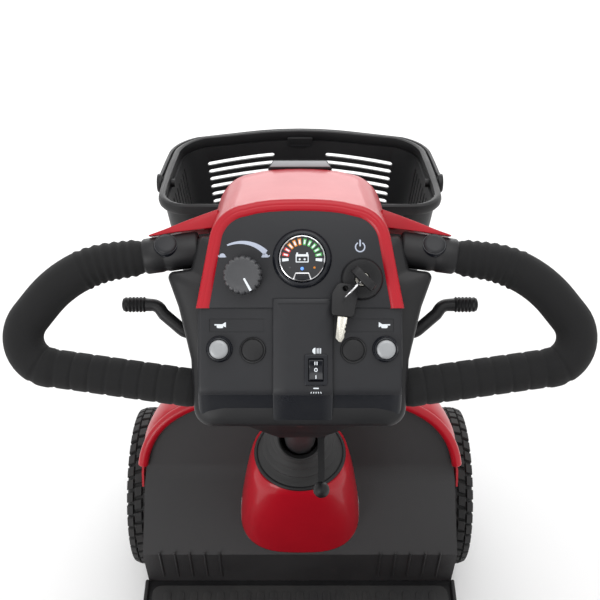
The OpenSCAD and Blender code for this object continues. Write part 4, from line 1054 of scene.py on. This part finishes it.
def nose():
    """The front cover, its rolled edge, and the cowl round the steering column."""
    rows = smooth_rows([(352, 238, 404), (376, 238.6, 408), (400, 238, 409), (440, 226, 400),
                        (480, 203, 380),
                        (520, 168, 350), (550, 130, 318), (566, 100, 296), (572, 86, 288)], 3)
    foot = 273

    def row(i, inset, n=40):
        y, half, top = rows[i]
        w, h = half - inset, top - foot - inset
        points = []
        for k in range(n + 1):
            q = math.pi * k / n
            z = foot + h * max(math.sin(q), 0) ** 0.72
            wall = wall_y(z) - 4 + 0.4 * i
            front = y - (inset if i == len(rows) - 1 else 0)
            points.append((w * power(math.cos(q), 0.72), max(wall, 320 if i == 0 else front), z))
        return points

    outer = [row(i, 0) for i in range(len(rows))]
    inner = [row(i, 3) for i in range(len(rows))]
    cover = shell("cover", outer, inner, WORLD, "red_paint")
    lip = []
    for x, y, z in row(0, -0.2)[2:-2]:
        lip.append((x * 0.992, y - 2.0, z - 1.0))
    roll = tube("roll", lip, 7.6, WORLD, "red_paint", 18)
    levels = smooth_rows(COWL, 4)

    def cowl(inset):
        return [soft_ring(a - inset, b - inset, 0.7, 56, z, 0, y) for z, a, b, y in levels]

    column = shell("cowl", cowl(0), cowl(3), WORLD, "red_paint", wrap=True)
    collar = tube("collar", soft_ring(61.5, 60.5, 1, 64, 389.6, 0, 311), 3.0, WORLD, "black_plastic", 16,
                  closed=True)
    piece(join("front_cover", [cover, roll, column, collar]), "chassis", "red_paint", "front_shroud")


def footwell():
    """The dark wall in front of the feet, cut out round the cowl."""
    z_low, z_high = 143.5, 399
    rows = []
    for i in range(31):
        t = i / 30
        if t < 0.5:
            z = z_low + (268 - z_low) * t * 2
            y = 238.6 - 1.6
        else:
            z = 268 + (z_high - 268) * (t * 2 - 1)
            y = wall_y(z) + 0.5
        rows.append((y, z))
    smooth = []
    for i, (y, z) in enumerate(rows):
        near = rows[max(0, i - 3):i + 4]
        smooth.append((sum(a for a, _ in near) / len(near) if 6 < i < 24 else y, z))
    columns = 40
    arch_top = 128.0

    def half_at(z):
        if z <= 276:
            return 231.0
        h = min(1.0, (z - 268) / arch_top) ** (1 / 0.75)
        return 232 * max(1 - h * h, 0.0) ** 0.375

    grid = []
    for y, z in smooth:
        half = max(half_at(z), 40)
        grid.append([(half * (2 * c / columns - 1), y, z) for c in range(columns + 1)])
    back = [[(x, y + 2.6, z) for x, y, z in row] for row in grid]
    panel = shell("panel", grid, back, WORLD, "grey_plastic")
    opening = [soft_ring(a + 0.5, b + 0.5, 0.7, 56, z, 0, y) for z, a, b, y in
               [(135, *COWL[0][1:])] + smooth_rows(COWL, 4) + [(430, *COWL[-1][1:])]]
    cut(panel, lofted("opening", opening, WORLD, "grey_plastic"))
    ribs = []
    for sign in (1, -1):
        for k in range(5):
            x = sign * (118 + 22 * k)
            ribs.append(tube("rib",
                             [(x, wall_y(z) - 0.4 if z > 272 else 236.6, z) for z in (170, 205, 240)], 1.7,
                             WORLD,
                             "grey_plastic", 10))
    piece(join("footwell_wall", [panel] + ribs), "chassis", "grey_plastic", "footwell_panel")


def floor_parts():
    """The floor tray with its side lips and aprons, and the ribbed mat."""
    tray = slab("tray", rounded_box(-235, -150, 235, 237.6, 10), 143, 155, WORLD, "black_plastic", edge=2)
    sides = []
    for sign in (1, -1):
        sides.append(slab("lip", rounded_box(sign * 232 - 3, -149, sign * 232 + 3, 235, 2.5), 154, 162.8,
                          WORLD,
                          "black_plastic", edge=1.6))
        apron = [(sign * 120, 143.5), (sign * 234, 143.5), (sign * 231, 116), (sign * 224, 108.4),
                 (sign * 130, 108.4),
                 (sign * 120, 116)]
        skirt = prism("apron", apron, (-149, 235), 1, WORLD, "black_plastic")
        cut(skirt,
            slab("hollow", rounded_box(sign * 178 - 52, -146, sign * 178 + 52, 232, 6), 90, 140, WORLD,
                        "black_plastic"))
        sides.append(bevel(skirt, 2.5))
    piece(join("floor_tray", [tray] + sides), "chassis", "black_plastic", "floor_pan")
    mat = slab("mat", rounded_box(-224, -142, 224, 228, 14), 155.2, 157.4, WORLD, "mat_rubber", edge=0.8)
    treads = []
    for i in range(-10, 11):
        treads.append(slab("tread", rounded_box(i * 20 - 5.6, -132, i * 20 + 5.6, 218, 5.2, 4), 157.0,
                           158.8, WORLD,
                           "mat_rubber", edge=0.7, segments=2))
    piece(join("floor_mat_ribbed", [mat] + treads), "chassis", "mat_rubber", "floor_mat")


def rear_cover():
    """The cover over the motor and batteries, with its seat post bush and side vents."""
    key_rows = [(-152, 232, 165, 368), (-156, 236, 163, 373), (-200, 240, 163, 394), (-258, 248, 163, 400),
                (-278, 253, 166, 400), (-290, 258, 270, 400), (-350, 262, 275, 399.4),
                (-425, 264, 276, 398),
                (-490, 263, 276, 391), (-525, 260, 276, 382), (-548, 251, 278, 366), (-557, 238, 282, 350)]
    count = 44

    def row(values, inset):
        y, half, low, top = values
        w, h = half - inset, top - low - inset
        return [(w * power(math.cos(math.pi * k / count), 0.55), y,
                 low + h * max(math.sin(math.pi * k / count), 0) ** 0.46)
                for k in range(count + 1)]

    def closing(values, inset, scale, y):
        middle_z = (values[2] + values[3]) / 2
        return [(x * scale, y, middle_z + (z - middle_z) * (0.35 + 0.65 * scale)) for x, _,
                z in row(values, inset)]

    first, last = key_rows[0], key_rows[-1]
    outer = [closing(first, 0, 0.12, -151), closing(first, 0, 0.94, -151)] + [row(v, 0) for v in key_rows]
    outer += [closing(last, 0, 0.94, -560), closing(last, 0, 0.12, -560)]
    inner = [closing(first, 3, 0.12, -154), closing(first, 3, 0.94, -154)] + [row(v, 3) for v in key_rows]
    inner += [closing(last, 3, 0.94, -557), closing(last, 3, 0.12, -557)]
    cover = shell("cover", outer, inner, WORLD, "red_paint")
    cut(cover,
        lathe("opening", [(0, 350), (31, 350), (31, 440), (0, 440)], WORLD, "red_paint", 48, (0, -300)))
    bush = tube("bush", soft_ring(31, 31, 1, 40, 400.2, 0, -300), 2.6, WORLD, "black_plastic", 12,
                closed=True)
    vents = []
    for sign in (1, -1):
        for k in range(6):
            y = -232 + 13 * k
            vents.append(tube("vent", [(sign * 244.5, y - 2, 225), (sign * 245.5, y + 3, 300)], 2.2, WORLD,
                              "black_plastic", 10))
    piece(join("rear_cover_shell", [cover, bush] + vents), "chassis", "red_paint", "rear_shroud")


def lights():
    """The headlamp, the tail lamps and the rear reflectors."""
    lamp = place(0, 572.5, 276) @ quarter("X", -1)
    case = lathe("case",
                 [(0, -6), (8, -6), (8, 0), (14, 0), (15, 1.4), (15, 12.6), (14.2, 14), (12.8, 14),
                  (12.6, 11),
                          (0, 11)], lamp, "chrome_trim", 48)
    lens = lathe("lens", [(0, 13.6), (6, 13.2), (11, 12), (12.6, 10.6), (0, 10.4)], lamp, "lamp_clear", 48)
    piece(join("headlamp", [case, lens]), "chassis", "lamp_clear", "headlight")
    tails = []
    for sign in (1, -1):
        lamp = place(sign * 185, -560, 320) @ quarter("X")
        tails.append(lathe("lens",
                           [(0, 11.8), (8, 11.4), (15, 10), (19, 7), (20, 3.6), (20, 0.5), (0, 0.5)], lamp,
                           "lamp_red", 48))
        tails.append(lathe("rim",
                           [(19.6, 0.6), (22.4, 0.6), (22.4, 3), (21, 4.4), (19.6, 4.2), (19.6, 0.6)], lamp,
                           "chrome_trim", 48))
        shape = rounded_box(sign * 120 - 20, 222, sign * 120 + 20, 246, 4)
        flat = place(0, -588.2, 0) @ quarter("X")
        tails.append(slab("reflector", shape, 0.2, 3.7, flat, "lamp_red", edge=1))
    piece(join("tail_lamps", tails), "chassis", "lamp_red", "tail_lights")


def bumpers():
    """The two bumper bars and their brackets."""
    def bar(y0, y1, w, z0, z1):
        half = (y1 - y0) / 2
        outline = arc(w - half, y0 + half, half, -90, 90, 10) + arc(half - w, y0 + half, half, 90, 270, 10)
        return slab("bar", outline, z0, z1, WORLD, "black_plastic", edge=4)

    parts = [bar(568, 592, 88, 170, 250), bar(-588, -566, 150, 205, 262)]
    for x0, y0, z0, x1, y1, z1 in ((-40, 440.2, 118, 40, 568, 142), (-40, 548, 142, 40, 568.5, 200),
                                   (-40, -566.5, 205, 40, -541, 213), (-40, -548, 175.2, 40, -541, 213)):
        parts.append(slab("bracket", rounded_box(x0, y0, x1, y1, 2.5), z0, z1, WORLD, "black_plastic",
                          edge=1.6))
    for z in (190, 210, 230):
        parts.append(tube("strip", [(-70, 591, z), (0, 591, z), (70, 591, z)], 0.9, WORLD, "black_plastic",
                          10))
    piece(join("bumper_set", parts), "chassis", "black_plastic", "bumpers")


# ---- Wheels ----


def tyre_section():
    """Half of the tyre in section, from bead to crown, as (radius, height) points."""
    half = 42.0
    side = [(78.4, 30),
            (80, 34)] + [(98 + 20 * math.cos(math.radians(a)), 22 + 20 * math.sin(math.radians(a)))
                                     for a in (170, 150, 130, 110, 95)]
    shoulder = [(104, half - 0.4), (110, half - 1.6), (116, half - 4.4), (120.6, half - 8.8),
                (123.4, half - 14),
                (124.6, half - 22), (125.2, 10), (125.4, 3)]
    return side + shoulder


def tread_height(z):
    """Outer radius of the tread blocks over the tyre's width."""
    edge = abs(z) / 42.0
    return 129.9 - 1.2 * edge ** 2 - 9.6 * max(0.0, edge - 0.66) ** 1.5 / 0.34 ** 1.5 * 0.5


def tyre(name, x, y, body, node):
    """A tyre with six rows of tread blocks, three on each side of its middle."""
    at = place(x, y, 130) @ quarter("Y")
    half = tyre_section()
    profile = half + [(125.4, 0)] + [(r, -z) for r, z in reversed(half)] + [half[0]]
    carcass = lathe("carcass", profile, at, "tyre_rubber", 96)
    rows = [(2.2, 13.2, 0.0), (15.6, 27.0, 0.5), (29.0, 39.6, 0.0)]
    count = 40
    points, faces = [], []
    for sign in (1, -1):
        for z0, z1, phase in rows:
            for k in range(count):
                a0 = 2 * math.pi * (k + phase + (0.25 if sign < 0 else 0)) / count
                span = 2 * math.pi / count * 0.74
                skew = 0.02 if z0 > 14 else 0.0
                low_r = 122.5 if z0 < 28 else 112.0
                base = len(points)
                for inset, sink in ((0.0, None), (0.0, 1.2), (0.9, 0.0)):
                    grow = inset / 126
                    for a, z in ((a0 + grow, z0 + inset), (a0 + span - grow, z0 + inset),
                                 (a0 + span - grow + skew, z1 - inset), (a0 + grow + skew, z1 - inset)):
                        r = low_r if sink is None else tread_height(z) - sink
                        points.append((r * math.cos(a), r * math.sin(a), sign * z))
                for level in (0, 4):
                    for c in range(4):
                        d = (c + 1) % 4
                        faces.append((base + level + c, base + level + d, base + level + 4 + d,
                                      base + level + 4 + c))
                faces.append((base, base + 1, base + 2, base + 3))
                faces.append((base + 8, base + 9, base + 10, base + 11))
    blocks = new_object("blocks", points, faces, at, "tyre_rubber")
    bead = [tube("bead", soft_ring(r, r, 1, 72, sign * 40.6), 0.9, at, "tyre_rubber", 8, closed=True)
            for sign in (1, -1) for r in (92, 103)]
    piece(join(name, [carcass, blocks] + bead), body, "tyre_rubber", node)


# ---- Seat ----


def swell(obj, cap, voxel=5.0, pressure=4.0):
    """Blows the pad up as cloth, holding each point within cap millimetres of where it started."""
    remesh = obj.modifiers.new("remesh", "REMESH")
    remesh.mode = "VOXEL"
    remesh.voxel_size = voxel / 1000
    bake(obj)
    start = [v.co.copy() for v in obj.data.vertices]
    cloth = obj.modifiers.new("cloth", "CLOTH")
    cloth.settings.use_pressure = True
    cloth.settings.uniform_pressure_force = pressure
    cloth.settings.effector_weights.gravity = 0
    cloth.settings.quality = 4
    cloth.settings.tension_stiffness = 25
    cloth.settings.compression_stiffness = 15
    cloth.collision_settings.use_collision = False
    scene = bpy.context.scene
    for number in range(1, 21):
        scene.frame_set(number)
    bake(obj)
    for vertex, home in zip(obj.data.vertices, start):
        move = vertex.co - home
        if move.length > cap / 1000:
            vertex.co = home + move * (cap / 1000 / move.length)
    scene.frame_set(1)
    smooth = obj.modifiers.new("smooth", "SMOOTH")
    smooth.factor = 0.5
    smooth.iterations = 4
    bake(obj)
    return subdivide(obj)


def pad_rings(levels, e=0.38, count=56, x=0.0, y=0.0):
    """Soft rings from (half width, half length, height) rows."""
    return [soft_ring(a, b, e, count, z, x, y) for a, b, z in levels]


def fit(obj, where, low, high):
    """Keeps the pad's points inside its CAD box, given in millimetres in the pad's own frame."""
    back = where.inverted()
    for vertex in obj.data.vertices:
        p = back @ vertex.co * 1000
        p = Vector(min(max(p[k], low[k]), high[k]) for k in range(3))
        vertex.co = where @ (p / 1000)
    return obj


def seam(name, path, radius, where, look, body, closed=True):
    """A cord laid along the pad's own surface."""
    tree = BVHTree.FromPolygons([v.co for v in body.data.vertices],
                                [f.vertices for f in body.data.polygons])
    laid = []
    for p in path:
        spot, outward, _, _ = tree.find_nearest(where @ (Vector(p) / 1000))
        laid.append(spot * 1000 + outward * radius * 0.35)
    return tube(name, laid, radius, WORLD, look, 10, closed=closed)


def seat_pad():
    """The seat cushion with two welts and two sewn channels."""
    at = place(0, -304, 460.2)
    body = lofted("pad",
                  pad_rings([(196, 178, 3), (209, 191, 8), (214, 195, 18), (214, 195, 50), (210, 191, 64),
                                    (190, 172, 76), (150, 132, 80), (80, 70, 81), (20, 16, 81)]), at,
                  "seat_vinyl")
    swell(body, 14)
    fit(body, at, (-219.5, -199.5, 0.2), (219.5, 199.5, 93))
    rings = [seam("welt", soft_ring(226, 207, 0.38, 120, z), 2.6, at, "seat_vinyl", body) for z in (16, 60)]
    channels = []
    for x in (-92, 92):
        path = [(x * (1 + 0.06 * math.sin(math.pi * k / 40)), -172 + 8.6 * k, 110) for k in range(41)]
        channels.append(seam("channel", path, 1.8, at, "stitch", body, closed=False))
    whole = join("seat_pad", [body] + rings + channels)
    fit(whole, at, (-219.8, -199.8, 0.1), (219.8, 199.8, 93))
    piece(whole, "seat", "seat_vinyl", "seat_cushion")


def back_pad():
    """The back cushion with two welts and two sewn channels."""
    at = BACK @ place(0, -3, 136) @ quarter("X", -1)
    levels = [(176, 172, 2.5), (192, 184, 8), (199, 189, 18), (199, 189, 32), (182, 172, 46),
              (134, 124, 52), (60, 55, 53),
              (16, 14, 53)]
    body = lofted("pad", pad_rings(levels, 0.42), at, "seat_vinyl")
    swell(body, 13)
    fit(body, at, (-204.5, -193.5, 0.2), (204.5, 193.5, 66))
    rings = [seam("welt", soft_ring(212, 202, 0.42, 120, z), 2.4, at, "seat_vinyl", body) for z in (13, 38)]
    channels = [seam("channel", [(-160 + 8 * k, y, 90) for k in range(41)], 1.7, at, "stitch", body,
                     closed=False)
                for y in (-70, 62)]
    whole = join("back_pad", [body] + rings + channels)
    fit(whole, at, (-204.8, -193.8, 0.1), (204.8, 193.8, 66))
    piece(whole, "backrest", "seat_vinyl", "back_cushion")


def armrest(sign, side):
    """The pad and the rail it is fixed to."""
    at = place(sign * 256, -298, 712.2)
    body = lofted("pad",
                  pad_rings([(15, 128, 1.6), (20, 134, 5), (22, 136, 11), (20, 134, 18), (13, 126, 22.5),
                             (4, 90, 24)],
                                   0.5, 40), at, "pad_rubber")
    swell(body, 5, voxel=4.0)
    fit(body, at, (-27, -142, 0.1), (27, 142, 28))
    line = seam("welt", soft_ring(32, 148, 0.5, 80, 9), 1.0, at, "pad_rubber", body)
    pad = join(f"armrest_pad_{side}", [body, line])
    fit(pad, at, (-27, -142, 0.1), (27, 142, 28))
    piece(pad, f"arm_{side}", "pad_rubber", f"armrest_{side}")
    profile = [(-410 + 225, 688), (-410 + 225, 712)] + arc(-410, 700, 12, 90, 270, 12)
    upright = quarter("Z") @ quarter("X")
    low, high = (251.2, 261.8) if sign > 0 else (-261.8, -251.2)
    rail = slab("rail", profile, low, high, upright, "frame_paint", edge=1.6)
    cut(rail, slab("bore", arc(-410, 700, 5.3, 0, 345, 23), low - 3, high + 3, upright, "frame_paint"))
    rail.name = f"armrest_rail_{side}"
    piece(rail, f"arm_{side}", "frame_paint")


# ---- Finishes of the CAD nodes that stay ----

KEPT = {
    "main_frame": "frame_paint", "battery_packs": "battery_case", "controller": "cast_aluminium",
    "drive_motor": "motor_paint", "transaxle": "cast_aluminium", "anti_tip_bar": "frame_paint",
    "anti_tip_wheels": "tyre_rubber", "freewheel_lever": "amber_plastic", "steering_stem": "zinc_steel",
    "stem_bushes": "bush_bronze", "tie_rod_left": "zinc_steel", "tie_rod_right": "zinc_steel",
    "knuckle_left": "zinc_steel", "knuckle_right": "zinc_steel", "front_rim_left": "wheel_silver",
    "front_rim_right": "wheel_silver", "rear_rim_left": "wheel_silver", "rear_rim_right": "wheel_silver",
    "tiller_column": "frame_paint", "tilt_lever": "black_plastic", "basket_bracket": "frame_paint",
    "seat_post": "zinc_steel", "seat_swivel": "frame_paint", "seat_frame": "frame_paint",
    "back_frame": "frame_paint", "seat_lever": "black_plastic",
}


def kept_nodes():
    """Gives each CAD part that stays in view its own finish."""
    for node, look in KEPT.items():
        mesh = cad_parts[node].data
        for index in range(len(mesh.materials)):
            mesh.materials[index] = LOOKS[look]
        if not mesh.materials:
            mesh.materials.append(LOOKS[look])


# ---- Floor and light ----


def studio():
    """A plain pale floor, a white surround and three soft lamps."""
    ground = bpy.data.meshes.new("ground")
    ground.from_pydata([(-9, -9, 0), (9, -9, 0), (9, 9, 0), (-9, 9, 0)], [], [(0, 1, 2, 3)])
    ground.materials.append(surface("ground_white", (0.88, 0.88, 0.88), 0.9, grain=40, bump=0.02))
    floor = bpy.data.objects.new("ground", ground)
    bpy.context.scene.collection.objects.link(floor)
    world = bpy.data.worlds.new("studio")
    world.use_nodes = True
    world.node_tree.nodes["Background"].inputs["Color"].default_value = (1, 1, 1, 1)
    world.node_tree.nodes["Background"].inputs["Strength"].default_value = 0.9
    bpy.context.scene.world = world
    for name, at, aim, size, power_w in (
            ("front_panel", (0, 3.0, 1.1), (0, 0.2, 0.8), (3.4, 1.6), 40),
            ("overhead", (0.3, 0.2, 3.4), (0, 0.1, 0.8), (2.6, 2.6), 36),
            ("back_left", (-1.7, -2.2, 1.5), (0, 0.15, 0.85), (1.6, 1.2), 28)):
        lamp = bpy.data.lights.new(name, "AREA")
        lamp.shape = "RECTANGLE"
        lamp.size, lamp.size_y = size
        lamp.energy = power_w
        obj = bpy.data.objects.new(name, lamp)
        bpy.context.scene.collection.objects.link(obj)
        obj.location = at
        obj.rotation_euler = (Vector(aim) - Vector(at)).to_track_quat("-Z", "Y").to_euler()
    bpy.context.scene.view_settings.view_transform = "Standard"


kept_nodes()
head_hood()
control_panel()
gauge()
speed_dial()
print_marks()
key_parts()
buttons()
head_housing()
handlebar()
drive_paddles()
basket()
basket_bail()
boot()
nose()
footwell()
floor_parts()
rear_cover()
lights()
bumpers()
for sign, side in SIDES:
    tyre(f"front_tyre_{side}_tread", sign * 230, 425, f"wheel_front_{side}", f"front_tyre_{side}")
    tyre(f"rear_tyre_{side}_tread", sign * 230, -425, f"wheel_rear_{side}", f"rear_tyre_{side}")
    armrest(sign, side)
seat_pad()
back_pad()
studio()
